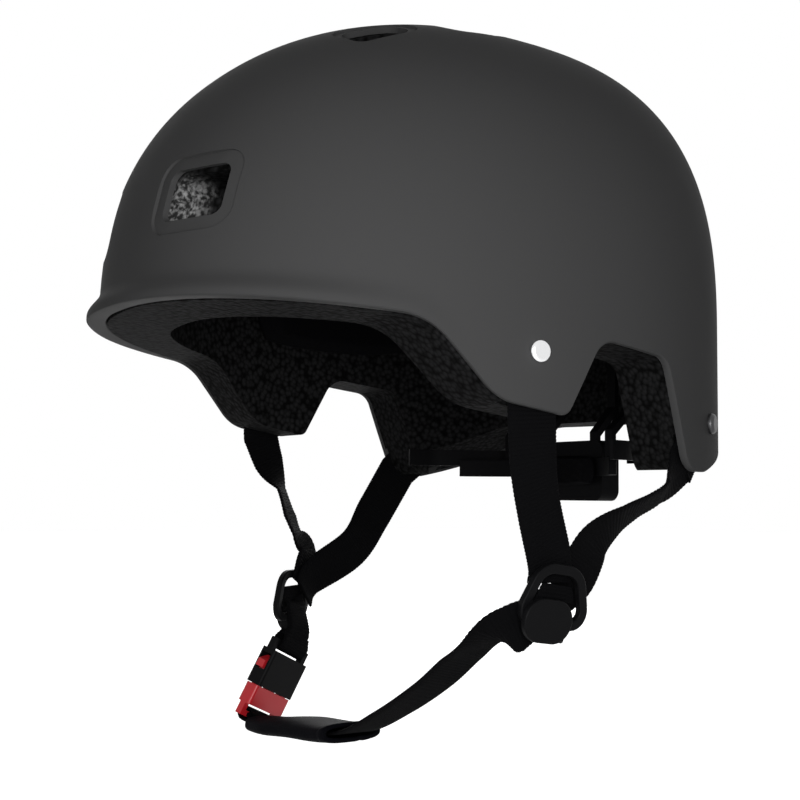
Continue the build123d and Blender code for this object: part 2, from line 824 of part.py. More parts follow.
def strap_bar(direction):
    """Slotted bar at one end of the buckle."""
    ends = sorted((direction * socket_end_y, direction * (socket_bar_y + bar_width)))
    block(buckle_half_width, ends[0], ends[1], bar_thick / 2)
    slot = sorted((direction * socket_end_y, direction * socket_bar_y))
    block(slot_half, slot[0], slot[1], bar_thick, mode=Mode.SUBTRACT)


with BuildPart() as socket_shape:
    block(buckle_half_width, mouth_y, socket_end_y, buckle_thick / 2)
    fillet(socket_shape.edges().filter_by(Axis.Y), radius=buckle_round)
    strap_bar(1)
    block(cavity_half, mouth_y, socket_end_y - buckle_wall, cavity_depth, mode=Mode.SUBTRACT)
    block(2 * buckle_half_width, window_low_y, window_high_y, cavity_depth, mode=Mode.SUBTRACT)

with BuildPart() as plug_shape:
    block(buckle_half_width, plug_end_y, plug_top_y, plug_thick / 2)
    fillet(plug_shape.edges().filter_by(Axis.Y), radius=buckle_round)
    strap_bar(-1)
    block(tongue_half, plug_top_y - buckle_wall, tongue_top_y, prong_thick / 2)
    for side in (left, right):
        slot_low = prong_pivot_y - prong_pivot_radius - prong_gap
        slot_in = prong_inner_x - prong_pivot_radius
        slot_out = prong_pivot_x + prong_pivot_radius + prong_gap
        with Locations((side * (slot_in + slot_out) / 2, (slot_low + plug_top_y) / 2, 0)):
            Box(slot_out - slot_in, plug_top_y - slot_low, prong_thick + 2 * prong_gap, mode=Mode.SUBTRACT)
        with Locations((side * prong_pivot_x, prong_pivot_y, 0)):
            Cylinder(prong_axle_radius + cam_axle_gap, plug_thick - 2 * prong_gap, mode=Mode.SUBTRACT)


def prong(side):
    """Springy prong with its barb, turning on a small axle in the plug."""
    outline = [(prong_inner_x, prong_pivot_y), (prong_inner_x, prong_tip_y), (prong_pivot_x, prong_tip_y),
               (prong_barb_x, prong_barb_y), (prong_barb_x, prong_shoulder_y),
               (prong_outer_x, prong_shoulder_y), (prong_outer_x, prong_pivot_y)]
    with BuildPart() as body:
        with BuildSketch(Plane.XY.offset(-prong_thick / 2)):
            with Locations((side * prong_pivot_x, prong_pivot_y)):
                Circle(prong_pivot_radius)
            with BuildLine():
                Polyline(*[(side * x, y) for x, y in outline], close=True)
            make_face()
        extrude(amount=prong_thick)
        with Locations((side * prong_pivot_x, prong_pivot_y, 0)):
            Cylinder(prong_axle_radius, plug_thick - 4 * prong_gap)
    return body


for name, shape in (("buckle_socket", socket_shape), ("buckle_plug", plug_shape),
                    ("rear_prong", prong(1)), ("front_prong", prong(-1))):
    with BuildPart() as piece:
        add(buckle_plane.location * shape.part)
    save(name, piece)


def bar_loop(low_y, high_y, low_z, high_z, hole_high_y, hole_high_z):
    """Webbing wrapped round a buckle bar, as a closed loop seen from its edge."""
    with BuildPart() as loop:
        with BuildSketch(Plane.YZ):
            with Locations(((low_y + high_y) / 2, (low_z + high_z) / 2)):
                RectangleRounded(high_y - low_y, high_z - low_z, webbing_thick)
            hole_low_y = low_y + webbing_thick
            hole_low_z = low_z + webbing_thick
            with Locations(((hole_low_y + hole_high_y) / 2, (hole_low_z + hole_high_z) / 2)):
                Rectangle(hole_high_y - hole_low_y, hole_high_z - hole_low_z, mode=Mode.SUBTRACT)
        extrude(amount=webbing_width / 2, both=True)
    return buckle_plane.location * loop.part


wrap = bar_thick / 2 + loop_gap + webbing_thick
bar_near = socket_bar_y - loop_gap - webbing_thick
bar_far = socket_bar_y + bar_width + loop_gap


def through_divider(plane):
    """Stations of webbing that comes through a divider's window and goes behind its lower bar."""
    return [place(plane, 0, strap_stop, window_layer, window_end_share),
            place(plane, 0, webbing_thick, window_layer, window_width_share),
            place(plane, 0, -webbing_thick, front_layer, window_width_share)]


# Short strap between the right divider and the buckle socket
socket_join = bar_far + loop_reach
outer_face = -buckle_plane.z_dir
neck_point = buckle_plane.from_local_coords(Vector(0, socket_join + loop_reach, 0))
join_point = buckle_plane.from_local_coords(Vector(0, socket_join - webbing_thick, 0))
short_end = [(neck_point, outer_face, neck_width_share, 2), (join_point, outer_face, 1, 2)]
with BuildPart() as right_short_strap:
    add(ribbon(eased(through_divider(right_divider_plane) + short_end)))
    add(bar_loop(bar_near, socket_join, -wrap, wrap, bar_far, wrap - webbing_thick))
save("right_short_strap", right_short_strap)

# Chin strap from the left divider to the plug, and the sleeve round its far part
chin_start = [place(left_divider_plane, divider_low_x * across_share, ring_bottom * down_share,
                    front_layer - 2 * cam_gap, width_share)
              for across_share, down_share, width_share in chin_exit_shares]
plug_join = wrap + loop_reach
chin_end_point = buckle_plane.from_local_coords(
    Vector(0, -bar_far + loop_gap + bar_width / 2, plug_join - webbing_thick))
chin_rows = through_divider(left_divider_plane) + chin_start
chin_rows += drape(chin_start[-1][0], chin_end_point, chin_shares)
chin_rows.append((chin_end_point, -buckle_plane.y_dir, 1, 2))
sleeve_first = len(chin_rows) - sleeve_stations
chin_stations = eased(chin_rows)
with BuildPart() as chin_strap:
    add(ribbon(chin_stations))
    add(bar_loop(-bar_far - webbing_thick, -bar_near, -wrap, plug_join, -socket_bar_y + loop_gap, wrap))
save("chin_strap", chin_strap)

sleeve_rows = chin_stations[sleeve_first * strap_steps:-strap_steps]
with BuildPart() as chin_sleeve:
    for wide, thick, mode in ((sleeve_width, sleeve_thick, Mode.ADD),
                              (sleeve_bore_width, sleeve_bore_thick, Mode.SUBTRACT)):
        for plane in strap_planes(sleeve_rows)[::2]:
            with BuildSketch(plane):
                RectangleRounded(wide, thick, thick * sleeve_round_share)
        loft(ruled=True, mode=mode)
save("chin_sleeve", chin_sleeve)

# Fit cradle: planes look backwards, with x towards the wearer's right and y up
tray_plane = Plane(origin=(0, tray_y, belt_z + tray_height), x_dir=(-1, 0, 0), z_dir=(0, 1, 0))
channel_plane = tray_plane.offset(tray_floor)
cover_plane = tray_plane.offset(tray_depth)
pitch_radius = rack_module * pinion_teeth / 2
tooth_pitch = pi * rack_module
rack_tip = pitch_radius - tooth_tip
rack_root = pitch_radius + tooth_root
rack_top = rack_root + rack_back
screw_spots = [(x, y) for x in (screw_x, -screw_x) for y in (screw_rise, -screw_rise)]


def arc_band(radius, thick, half, low, high):
    """Curved upright strip behind the head."""
    with BuildPart() as strip:
        with BuildSketch(Plane.XY.offset(belt_z + low)):
            with Locations((0, band_centre_y)):
                Circle(radius + thick / 2)
                Circle(radius - thick / 2, mode=Mode.SUBTRACT)
                Rectangle(2 * half, 2 * radius, align=(Align.CENTER, Align.MIN), mode=Mode.INTERSECT)
        extrude(amount=high - low)
    return strip.part


with BuildPart() as cradle_frame:
    with BuildSketch(tray_plane):
        RectangleRounded(2 * tray_half_width, 2 * tray_half_height, tray_corner)
    extrude(amount=tray_depth)
    add(arc_band(band_radius, band_thick, band_half_width, band_bottom, band_top))
    for x in (rib_inner_x, rib_outer_x):
        band_y = band_centre_y + (band_radius ** 2 - x ** 2) ** 0.5
        share = 1 - ((x + rib_width / 2) / (half_width - cavity_inset)) ** plan_power
        wall_y = widest_back + (rear_length - cavity_inset) * share ** (1 / plan_power) - liner_gap
        rib = [(band_y, band_bottom), (band_y, rib_knee_height), (wall_y - rib_thick, rib_reach_height),
               (wall_y - rib_thick, rib_top_height), (wall_y, rib_top_height),
               (wall_y, rib_reach_height - rib_thick), (band_y + rib_thick, rib_knee_height - rib_thick),
               (band_y + rib_thick, band_top), (band_y, band_top)]
        for side in (left, right):
            with BuildSketch(side_plane.offset(side * x - rib_width / 2)):
                with BuildLine():
                    Polyline(*rib[1:-1], (band_y, band_top), close=True)
                make_face()
            extrude(amount=rib_width)
    with BuildSketch(channel_plane):
        Rectangle(2 * (tray_half_width - tray_wall), 2 * (rack_top + rack_play))
        for side in (left, right):
            with Locations((-side * tray_half_width, side * (rack_tip + rack_top) / 2)):
                Rectangle(4 * tray_wall, rack_top - rack_tip + 2 * rack_play)
    extrude(amount=tray_depth, mode=Mode.SUBTRACT)
    with BuildSketch(cover_plane):
        with Locations(*screw_spots):
            Circle(screw_radius + shaft_gap)
    extrude(amount=-screw_length, mode=Mode.SUBTRACT)
save("cradle_frame", cradle_frame)

with BuildPart() as dial_cover:
    with BuildSketch(cover_plane):
        RectangleRounded(2 * tray_half_width, 2 * tray_half_height, tray_corner)
        Circle(dial_shaft_radius + shaft_gap, mode=Mode.SUBTRACT)
        with Locations(*screw_spots):
            Circle(screw_radius + shaft_gap, mode=Mode.SUBTRACT)
    extrude(amount=cover_thick)
save("dial_cover", dial_cover)

with BuildPart() as cover_screws:
    with BuildSketch(cover_plane.offset(cover_thick)):
        with Locations(*screw_spots):
            Circle(screw_head_radius)
    extrude(amount=screw_head_thick)
    with BuildSketch(cover_plane.offset(cover_thick)):
        with Locations(*screw_spots):
            Circle(screw_radius)
    extrude(amount=-cover_thick - screw_length + rack_play)
save("cover_screws", cover_screws)

knob_plane = cover_plane.offset(cover_thick + screw_head_thick + dial_gap)
with BuildPart() as dial_knob:
    with BuildSketch(knob_plane):
        Circle(dial_radius)
    extrude(amount=dial_thick)
    fillet(dial_knob.faces().sort_by(Axis.Y)[-1].edges(), radius=dial_round)
    with BuildSketch(knob_plane):
        with PolarLocations(dial_radius + dial_grip_radius / 2, dial_grips):
            Circle(dial_grip_radius)
    extrude(amount=dial_thick, mode=Mode.SUBTRACT)
    with BuildSketch(knob_plane):
        Circle(dial_shaft_radius)
    extrude(amount=-cover_thick - screw_head_thick - dial_gap)
save("dial_knob", dial_knob)

tooth_outline = ((0, -pinion_root_share), (pitch_radius - tooth_root, -pinion_root_share),
                 (pitch_radius, -tooth_pitch_share), (pitch_radius + tooth_tip, -tooth_tip_share),
                 (pitch_radius + tooth_tip, tooth_tip_share), (pitch_radius, tooth_pitch_share),
                 (pitch_radius - tooth_root, pinion_root_share), (0, pinion_root_share))
with BuildPart() as dial_pinion:
    with BuildSketch(channel_plane.offset((tray_depth - tray_floor - pinion_thick) / 2)):
        Circle(pitch_radius - tooth_root)
        with PolarLocations(0, pinion_teeth):
            with BuildLine():
                Polyline(*[(x, share * tooth_pitch / 2) for x, share in tooth_outline], close=True)
            make_face()
    extrude(amount=pinion_thick)
save("dial_pinion", dial_pinion)


def rack_arm(side):
    """Rack with its curved arm; the two racks lie on opposite sides of the pinion."""
    arm_low = arm_level - arm_tall / 2
    arm_high = arm_level + arm_tall / 2
    rack_low = tray_height + min(side * rack_root, side * rack_top)
    middle_y = tray_y + (tray_floor + tray_depth) / 2
    with BuildPart() as body:
        with BuildSketch(channel_plane.offset((tray_depth - tray_floor - rack_thick) / 2)):
            with BuildLine():
                Polyline(*[(-side * x, side * y) for x, y in (
                    (-rack_inner, rack_root), (rack_end, rack_root), (rack_end, rack_top),
                    (-rack_inner, rack_top))], close=True)
            make_face()
            for k in range(rack_teeth):
                centre = tooth_pitch * (k - 3 / 2)
                with BuildLine():
                    Polyline(*[(-side * (centre + half * tooth_pitch / 2), side * y) for half, y in (
                        (-tooth_root_share, rack_root), (-tooth_tip_share, rack_tip),
                        (tooth_tip_share, rack_tip), (tooth_root_share, rack_root))], close=True)
                make_face()
        extrude(amount=rack_thick)
        with BuildSketch(Plane.XY.offset(belt_z + arm_low)):
            with BuildLine():
                FilletPolyline((side * rack_end, middle_y), (side * arm_bend_x, middle_y),
                               (side * arm_knee_x, arm_knee_y), (side * arm_end_x, arm_end_y),
                               radius=[arm_radius, arm_radius])
            trace(line_width=arm_thick)
        extrude(amount=arm_tall)
        with Locations((side * rack_end, middle_y, belt_z + min(rack_low, arm_low))):
            Box(2 * rack_back, arm_thick, arm_high - min(rack_low, arm_low),
                align=(Align.CENTER, Align.CENTER, Align.MIN))
    return body


save("left_rack_arm", rack_arm(left))
save("right_rack_arm", rack_arm(right))

with BuildPart() as nape_pad:
    add(arc_band(nape_pad_radius - nape_pad_thick / 2, nape_pad_thick, nape_pad_half, nape_pad_bottom,
                 nape_pad_top))
    fillet(nape_pad.edges(), radius=nape_pad_round)
save("nape_pad", nape_pad)
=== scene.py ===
import math

import bmesh
import bpy
import numpy as np
from mathutils import Matrix, Vector


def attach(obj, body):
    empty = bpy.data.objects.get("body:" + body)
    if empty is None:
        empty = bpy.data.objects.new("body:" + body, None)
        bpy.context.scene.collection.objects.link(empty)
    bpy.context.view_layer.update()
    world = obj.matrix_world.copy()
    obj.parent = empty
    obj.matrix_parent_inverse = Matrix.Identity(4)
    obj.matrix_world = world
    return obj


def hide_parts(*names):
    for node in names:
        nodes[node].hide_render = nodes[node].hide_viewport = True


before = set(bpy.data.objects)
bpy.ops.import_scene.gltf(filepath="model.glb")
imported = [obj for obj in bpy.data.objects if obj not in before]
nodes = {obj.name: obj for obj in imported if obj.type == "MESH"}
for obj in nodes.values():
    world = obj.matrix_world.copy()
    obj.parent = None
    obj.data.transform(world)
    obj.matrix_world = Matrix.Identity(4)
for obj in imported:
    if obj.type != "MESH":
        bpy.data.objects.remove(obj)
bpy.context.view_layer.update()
MM = 0.001

# The dome's plan and profile, in millimetres; heights are measured from the belt
FRONT, REAR, HALF, RISE, BACK = 148.8, 118.9, 112.3, 128.0, 15.0
PLAN, P_FRONT, P_REAR, P_SIDE = 2.25, 2.35, 2.95, 2.46

# The shell's wall, the depth of the liner's inside below the dome, the crown pad's thickness,
# and the belt's height in the frame
WALL, PAD, CROWN_PAD = 3.0, 30.3, 7.0
BELT = -(RISE - PAD - CROWN_PAD)

# Lip along the front of the rim: reach, height that it fades over, and where it ends in degrees
LIP, LIP_LEVELS, LIP_ENDS = 5.0, (1.2, 11.0), (28, 62)

# Webbing: thickness and width; pitch, depth and roundness of its crosswise ribs, and how far they
# tooth its edge; and how much thinner it gets over the outer tenth
WEB_T, WEB_W = 1.5, 20.0
RIB_PITCH, RIB_DEPTH, RIB_ROUND, RIB_TEETH = 1.5, 0.26, 0.7, 0.16
THINNER_FROM, THINNER_BY = 0.90, 0.55


def vec(*p):
    return np.array(p, float)


def unit(v):
    v = np.asarray(v, float)
    return v / max(np.linalg.norm(v), 1e-12)


def smooth(a, b, x):
    t = np.clip((np.asarray(x, float) - a) / (b - a), 0, 1)
    return t * t * (3 - 2 * t)


# Materials
def material(name, color, rough, metal=0.0, spec=0.5):
    mat = bpy.data.materials.new(name)
    mat.use_nodes = True
    tree = mat.node_tree
    bsdf = tree.nodes["Principled BSDF"]
    bsdf.inputs["Base Color"].default_value = (*color, 1)
    bsdf.inputs["Roughness"].default_value = rough
    bsdf.inputs["Metallic"].default_value = metal
    bsdf.inputs["Specular IOR Level"].default_value = spec
    return mat, tree, bsdf


def add_bump(tree, bsdf, height, strength, distance, previous=None):
    bump = tree.nodes.new("ShaderNodeBump")
    bump.inputs["Strength"].default_value = strength
    bump.inputs["Distance"].default_value = distance
    tree.links.new(height, bump.inputs["Height"])
    if previous is not None:
        tree.links.new(previous, bump.inputs["Normal"])
    tree.links.new(bump.outputs["Normal"], bsdf.inputs["Normal"])
    return bump.outputs["Normal"]


def noise(tree, scale, detail=2.0):
    tex = tree.nodes.new("ShaderNodeTexNoise")
    tex.inputs["Scale"].default_value = scale
    tex.inputs["Detail"].default_value = detail
    at = tree.nodes.new("ShaderNodeTexCoord")
    tree.links.new(at.outputs["Object"], tex.inputs["Vector"])
    return tex.outputs["Fac"]


def vary(tree, bsdf, fac, low, high):
    """Roughness that wanders between two values."""
    ramp = tree.nodes.new("ShaderNodeMapRange")
    ramp.inputs["To Min"].default_value = low
    ramp.inputs["To Max"].default_value = high
    tree.links.new(fac, ramp.inputs["Value"])
    tree.links.new(ramp.outputs["Result"], bsdf.inputs["Roughness"])


def color_ramp(tree, fac, *stops):
    """Colour that goes from one (place, colour) stop to the next as fac rises."""
    ramp = tree.nodes.new("ShaderNodeValToRGB")
    for element, (place, color) in zip(ramp.color_ramp.elements, stops):
        element.position = place
        element.color = (*color, 1)
    tree.links.new(fac, ramp.inputs["Fac"])
    return ramp.outputs["Color"]


def make_shell_material():
    mat, tree, bsdf = material("shell_coat", (0.056, 0.056, 0.0565), 0.52, spec=0.006)
    vary(tree, bsdf, noise(tree, 60), 0.47, 0.55)
    add_bump(tree, bsdf, noise(tree, 2600, 3), 0.10, 0.0004)
    return mat


# Painted light on the vents' ramps shows round this place, given by its distances from the origin
# along X, Y and Z
LIT_BEADS_AT = (0.030, 0.118, 0.062)
LIT_BEADS_FADE = (0.018, 0.010)


def paint_lit_beads(tree, bsdf, at):
    """Painted light: paler speckled beads on the ramp at the lower inner corner of each front
    vent, where the ramp is lit.
    """
    fold = tree.nodes.new("ShaderNodeVectorMath")
    fold.operation = "ABSOLUTE"
    tree.links.new(at.outputs["Object"], fold.inputs[0])
    gap = tree.nodes.new("ShaderNodeVectorMath")
    gap.operation = "DISTANCE"
    gap.inputs[1].default_value = LIT_BEADS_AT
    tree.links.new(fold.outputs["Vector"], gap.inputs[0])
    near = tree.nodes.new("ShaderNodeMapRange")
    near.inputs["From Min"].default_value = LIT_BEADS_FADE[0]
    near.inputs["From Max"].default_value = LIT_BEADS_FADE[1]
    tree.links.new(gap.outputs["Value"], near.inputs["Value"])
    # the paler speckle is painted light on the lit part of the ramp
    lit_speckle = color_ramp(tree, noise(tree, 520, 3), (0.42, (0.03,) * 3), (0.62, (0.30,) * 3))
    blend = tree.nodes.new("ShaderNodeMix")
    blend.data_type = "RGBA"
    foam_colour = bsdf.inputs["Base Color"].links[0].from_socket
    tree.links.new(near.outputs["Result"], blend.inputs["Factor"])
    # sockets 6, 7 and 2 are the node's colours A, B and result
    tree.links.new(foam_colour, blend.inputs[6])
    tree.links.new(lit_speckle, blend.inputs[7])
    tree.links.new(blend.outputs[2], bsdf.inputs["Base Color"])


def make_foam_material(name, dark, light):
    mat, tree, bsdf = material(name, light, 0.8, spec=0.02)
    at = tree.nodes.new("ShaderNodeTexCoord")
    cells = tree.nodes.new("ShaderNodeTexVoronoi")
    cells.inputs["Scale"].default_value = 420
    tree.links.new(at.outputs["Object"], cells.inputs["Vector"])
    shade = color_ramp(tree, cells.outputs["Distance"], (0.25, light), (0.75, dark))
    tree.links.new(shade, bsdf.inputs["Base Color"])
    # painted light on the front vents' ramps
    paint_lit_beads(tree, bsdf, at)
    invert = tree.nodes.new("ShaderNodeMath")
    invert.operation = "SUBTRACT"
    invert.inputs[0].default_value = 1.0
    tree.links.new(cells.outputs["Distance"], invert.inputs[1])
    add_bump(tree, bsdf, invert.outputs[0], 0.55, 0.0009)
    return mat


def make_web_material(name, color):
    """Woven webbing: fine lengthwise threads over ribs that are modelled in the mesh."""
    mat, tree, bsdf = material(name, color, 0.74, spec=0.02)
    at = tree.nodes.new("ShaderNodeTexCoord")
    wave = tree.nodes.new("ShaderNodeTexWave")
    wave.wave_type = "BANDS"
    wave.bands_direction = "X"
    wave.inputs["Scale"].default_value = 9.0
    wave.inputs["Distortion"].default_value = 0.6
    wave.inputs["Detail Scale"].default_value = 4.0
    tree.links.new(at.outputs["UV"], wave.inputs["Vector"])
    add_bump(tree, bsdf, wave.outputs["Fac"], 0.35, 0.0003)
    return mat


def make_cloth_material(name, color, scale=1500, strength=0.4, rough=0.85):
    mat, tree, bsdf = material(name, color, rough, spec=0.02)
    fine = noise(tree, scale, 3)
    coarse = noise(tree, scale / 12, 2)
    first = add_bump(tree, bsdf, fine, strength, 0.0005)
    add_bump(tree, bsdf, coarse, strength * 0.5, 0.0009, first)
    return mat


def make_plastic_material(name, color, rough, spec=0.45):
    mat, tree, bsdf = material(name, color, rough, spec=spec)
    vary(tree, bsdf, noise(tree, 150), rough - 0.04, rough + 0.05)
    add_bump(tree, bsdf, noise(tree, 1900, 2), 0.06, 0.0003)
    return mat


def make_metal_material(name, color, rough):
    mat, tree, bsdf = material(name, color, rough, metal=1.0)
    vary(tree, bsdf, noise(tree, 400), rough - 0.03, rough + 0.05)
    return mat


SHELL = make_shell_material()
FOAM = make_foam_material("foam_beads", (0.0025, 0.0025, 0.0025), (0.015, 0.015, 0.0155))
WEB = make_web_material("webbing_weave", (0.003, 0.003, 0.0034))
CLOTH = make_cloth_material("pad_knit", (0.0035, 0.0035, 0.004))
SLEEVE = make_cloth_material("sleeve_cloth", (0.003, 0.003, 0.0042), 1200, 0.3, 0.7)
BLACK = make_plastic_material("black_moulded", (0.0045, 0.0045, 0.005), 0.42, 0.04)
CRADLE = make_plastic_material("cradle_moulded", (0.0035, 0.0035, 0.004), 0.55, 0.03)
RED = make_plastic_material("red_moulded", (0.56, 0.014, 0.022), 0.36)
CHROME = make_metal_material("rivet_bright", (0.80, 0.80, 0.81), 0.22)
DARK = make_metal_material("rivet_black", (0.06, 0.06, 0.062), 0.4)
STEEL = make_metal_material("screw_steel", (0.45, 0.45, 0.46), 0.34)
PINION = make_plastic_material("pinion_natural", (0.42, 0.41, 0.38), 0.5)
DOTS = make_cloth_material("dot_loops", (0.02, 0.02, 0.02), 900, 0.8)

by_node = {
    "foam_liner": FOAM, "front_rivets": CHROME, "rear_rivets": DARK, "rivet_washers": DARK,
    "pad_dots": DOTS, "left_divider": BLACK, "right_divider": BLACK, "left_cam_flap": BLACK,
    "right_cam_flap": BLACK, "buckle_socket": BLACK, "buckle_plug": RED, "rear_prong": RED,
    "front_prong": RED, "cradle_frame": CRADLE, "dial_cover": CRADLE, "cover_screws": STEEL,
    "dial_knob": BLACK, "dial_pinion": PINION, "left_rack_arm": CRADLE, "right_rack_arm": CRADLE,
}
for name, mat in by_node.items():
    o = nodes[name]
    o.data.materials.clear()
    o.data.materials.append(mat)


# Mesh helpers
def mesh_object(name, verts, faces, mat, uvs=None):
    """Object from millimetre vertices; uvs is one pair per vertex."""
    mesh = bpy.data.meshes.new(name)
    mesh.from_pydata([tuple(np.asarray(v) * MM) for v in verts], [], faces)
    if uvs is not None:
        layer = mesh.uv_layers.new(name="UVMap")
        for loop in mesh.loops:
            layer.data[loop.index].uv = uvs[loop.vertex_index]
    mesh.materials.append(mat)
    for poly in mesh.polygons:
        poly.use_smooth = True
    mesh.update()
    o = bpy.data.objects.new(name, mesh)
    bpy.context.collection.objects.link(o)
    return o


def tidy_normals(o):
    bm = bmesh.new()
    bm.from_mesh(o.data)
    bmesh.ops.recalc_face_normals(bm, faces=bm.faces)
    bm.to_mesh(o.data)
    bm.free()


def grid_faces(rows, cols, closed=False, offset=0):
    """Quads of a rows by cols grid of vertices; closed joins the last column to the first."""
    faces = []
    for i in range(rows - 1):
        for j in range(cols if closed else cols - 1):
            k = (j + 1) % cols
            faces.append((offset + i * cols + j, offset + i * cols + k,
                          offset + (i + 1) * cols + k, offset + (i + 1) * cols + j))
    return faces


# Dome and rim
def reach(length, power, h, inset):
    share = np.clip(np.maximum(h, 0) / (RISE - inset), 0, 1)
    return (length - inset) * (1 - share ** power) ** (1 / power)


def plan(turn, h, inset):
    """Plan point at a turn in radians from the front round the wearer's left."""
    c, s = np.cos(turn), np.sin(turn)
    a = np.where(c > 0, reach(FRONT, P_FRONT, h, inset), reach(REAR, P_REAR, h, inset))
    b = reach(HALF, P_SIDE, h, inset)
    x = b * np.sign(s) * np.abs(s) ** (2 / PLAN)
    y = BACK - a * np.sign(c) * np.abs(c) ** (2 / PLAN)
    return x, y


def rounded_line(points, radii):
    """Polyline with its inner corners rounded, as an array of points."""
    out = [np.array(points[0], float)]
    for i in range(1, len(points) - 1):
        p, q, r = (np.array(points[k], float) for k in (i - 1, i, i + 1))
        u, v = unit(p - q), unit(r - q)
        half = math.acos(float(np.clip(u @ v, -1, 1))) / 2
        cut = radii[i - 1] / math.tan(half)
        a, b = q + u * cut, q + v * cut
        centre = q + unit(u + v) * radii[i - 1] / math.sin(half)
        a0 = math.atan2(*(a - centre)[::-1])
        a1 = math.atan2(*(b - centre)[::-1])
        turn = (a1 - a0 + math.pi) % (2 * math.pi) - math.pi
        for k in range(13):
            t = a0 + turn * k / 12
            out.append(centre + radii[i - 1] * vec(math.cos(t), math.sin(t)))
    out.append(np.array(points[-1], float))
    return np.array(out)


SLOPE = math.tan(math.radians(6.2))
RIM_SIDE = rounded_line(
    [(-170, -1.7 + SLOPE * 40), (-60.5, -1.7 - SLOPE * 69.5), (-35.7, -37.1), (-6.9, -41.9),
     (9.4, -12.8), (44.5, -17.3), (59.2, -60.0), (150, -60.0)], [24, 22, 4, 11, 9, 9])
RIM_BACK = rounded_line([(-105, -62), (-50, -34), (50, -34), (105, -62)], [30, 30])
BACK_FROM = 62


def rim_height(x, y):
    h = np.interp(y, RIM_SIDE[:, 0], RIM_SIDE[:, 1])
    back = np.interp(x, RIM_BACK[:, 0], RIM_BACK[:, 1])
    return np.where(y > BACK_FROM, np.maximum(h, back), h)


def rim_turns(count):
    """Turns spaced evenly along the rim's own length, so that its corners stay crisp."""
    t = np.linspace(0, 2 * np.pi, 20001)
    x, y = plan(t, np.zeros_like(t), 0)
    h = rim_height(x, y)
    step = np.sqrt(np.diff(x) ** 2 + np.diff(y) ** 2 + np.diff(h) ** 2)
    along = np.concatenate([[0], np.cumsum(step)])
    return np.interp(np.linspace(0, along[-1], count, endpoint=False), along, t)


# Grid of the shell: places round it, levels from the rim (0) to the crown (1), closer together
# near the rim, and the crown's angle above the belt
SHELL_TURNS = 1100
NEAR_RIM = np.array([0, 0.5, 1.1, 1.8, 2.6, 3.6, 4.8, 6.2, 8, 10, 13, 17]) / 200
SHELL_LEVELS = np.concatenate([NEAR_RIM, np.linspace(0.11, 1, 84)])
CROWN_ANGLE = math.radians(89.3)

# Rounded rim, each as depth into the wall and height over the rim's line: where the outside
# ends, three rows round the edge, and where the inside starts
OUTSIDE, EDGE_ROWS, INSIDE = (0.0, 0.7), ((0.5, 0.15), (1.2, 0.0), (WALL - 0.6, 0.0)), (WALL, 0.5)
UNDER_LIP = 0.94


def build_shell():
    """Outer shell as one closed surface: outside, rim and inside, from crown to crown."""
    turns = rim_turns(SHELL_TURNS)
    x0, y0 = plan(turns, np.zeros_like(turns), 0)
    rim = rim_height(x0, y0)
    azimuth = np.degrees(np.arctan2(x0, -(y0 - BACK)))
    azimuth = np.abs((azimuth + 180) % 360 - 180)
    lip = LIP * (1 - smooth(*LIP_ENDS, azimuth))
    out = np.stack([x0, y0 - BACK], 1)
    out /= np.linalg.norm(out, axis=1)[:, None]

    def row(s, inset, over):
        # s runs from the rim to the crown by angle above the belt
        top = RISE - inset
        low = rim + over
        theta_low = np.where(low > 0, np.arcsin(np.clip(low / top, 0, 1)), low / top)
        theta = theta_low + (CROWN_ANGLE - theta_low) * s
        h = np.where(theta > 0, top * np.sin(theta), theta * top)
        x, y = plan(turns, h, inset)
        above = h - low
        if inset < 1:
            flare = lip * (1 - smooth(*LIP_LEVELS, above)) ** 1.3
            away = np.stack([x, y - BACK], 1)
            away /= np.maximum(np.linalg.norm(away, axis=1), 1e-6)[:, None]
            x, y = x + away[:, 0] * flare, y + away[:, 1] * flare
        return np.stack([x, y, h + BELT], 1)

    outer = [row(s, *OUTSIDE) for s in SHELL_LEVELS]
    edge_a, edge_b, edge_c = (row(0, *edge) for edge in EDGE_ROWS)
    inner = [row(s, *INSIDE) for s in SHELL_LEVELS]
    # the rim's underside follows the lip out; the inside stays with the wall
    for axis in (0, 1):
        edge_b[:, axis] += out[:, axis] * lip * UNDER_LIP
    rows = outer[::-1] + [edge_a, edge_b, edge_c] + inner
    verts = np.concatenate(rows)
    cols = len(turns)
    faces = grid_faces(len(rows), cols, True)
    crowns = [[0, BACK, RISE + BELT - 0.002], [0, BACK, RISE - WALL + BELT - 0.002]]
    verts = np.concatenate([verts, crowns])
    top, low = len(verts) - 2, len(verts) - 1
    last = (len(rows) - 1) * cols
    for j in range(cols):
        k = (j + 1) % cols
        faces.append((top, k, j))
        faces.append((low, last + j, last + k))
    o = mesh_object("shell_skin", verts, faces, SHELL)
    tidy_normals(o)
    return o


def rounded_rect(cx, cy, w, t, r, n=8):
    """Outline of a rectangle with rounded corners."""
    out = []
    for k, (sx, sy) in enumerate(((1, 1), (-1, 1), (-1, -1), (1, -1))):
        for i in range(n + 1):
            a = math.radians(90 * k + 90 * i / n)
            out.append((cx + sx * (w / 2 - r) + r * math.cos(a),
                        cy + sy * (t / 2 - r) + r * math.sin(a)))
    return out


CUT_FROM, CUT_TO = 60, 170


def prism(outline, place):
    """Closed prism from inside the dome to outside it."""
    n = len(outline)
    verts = [place(p, depth) for depth in (CUT_FROM, CUT_TO) for p in outline]
    faces = [tuple(range(n)), tuple(range(2 * n - 1, n - 1, -1))]
    faces += [(i, (i + 1) % n, n + (i + 1) % n, n + i) for i in range(n)]
    return verts, faces


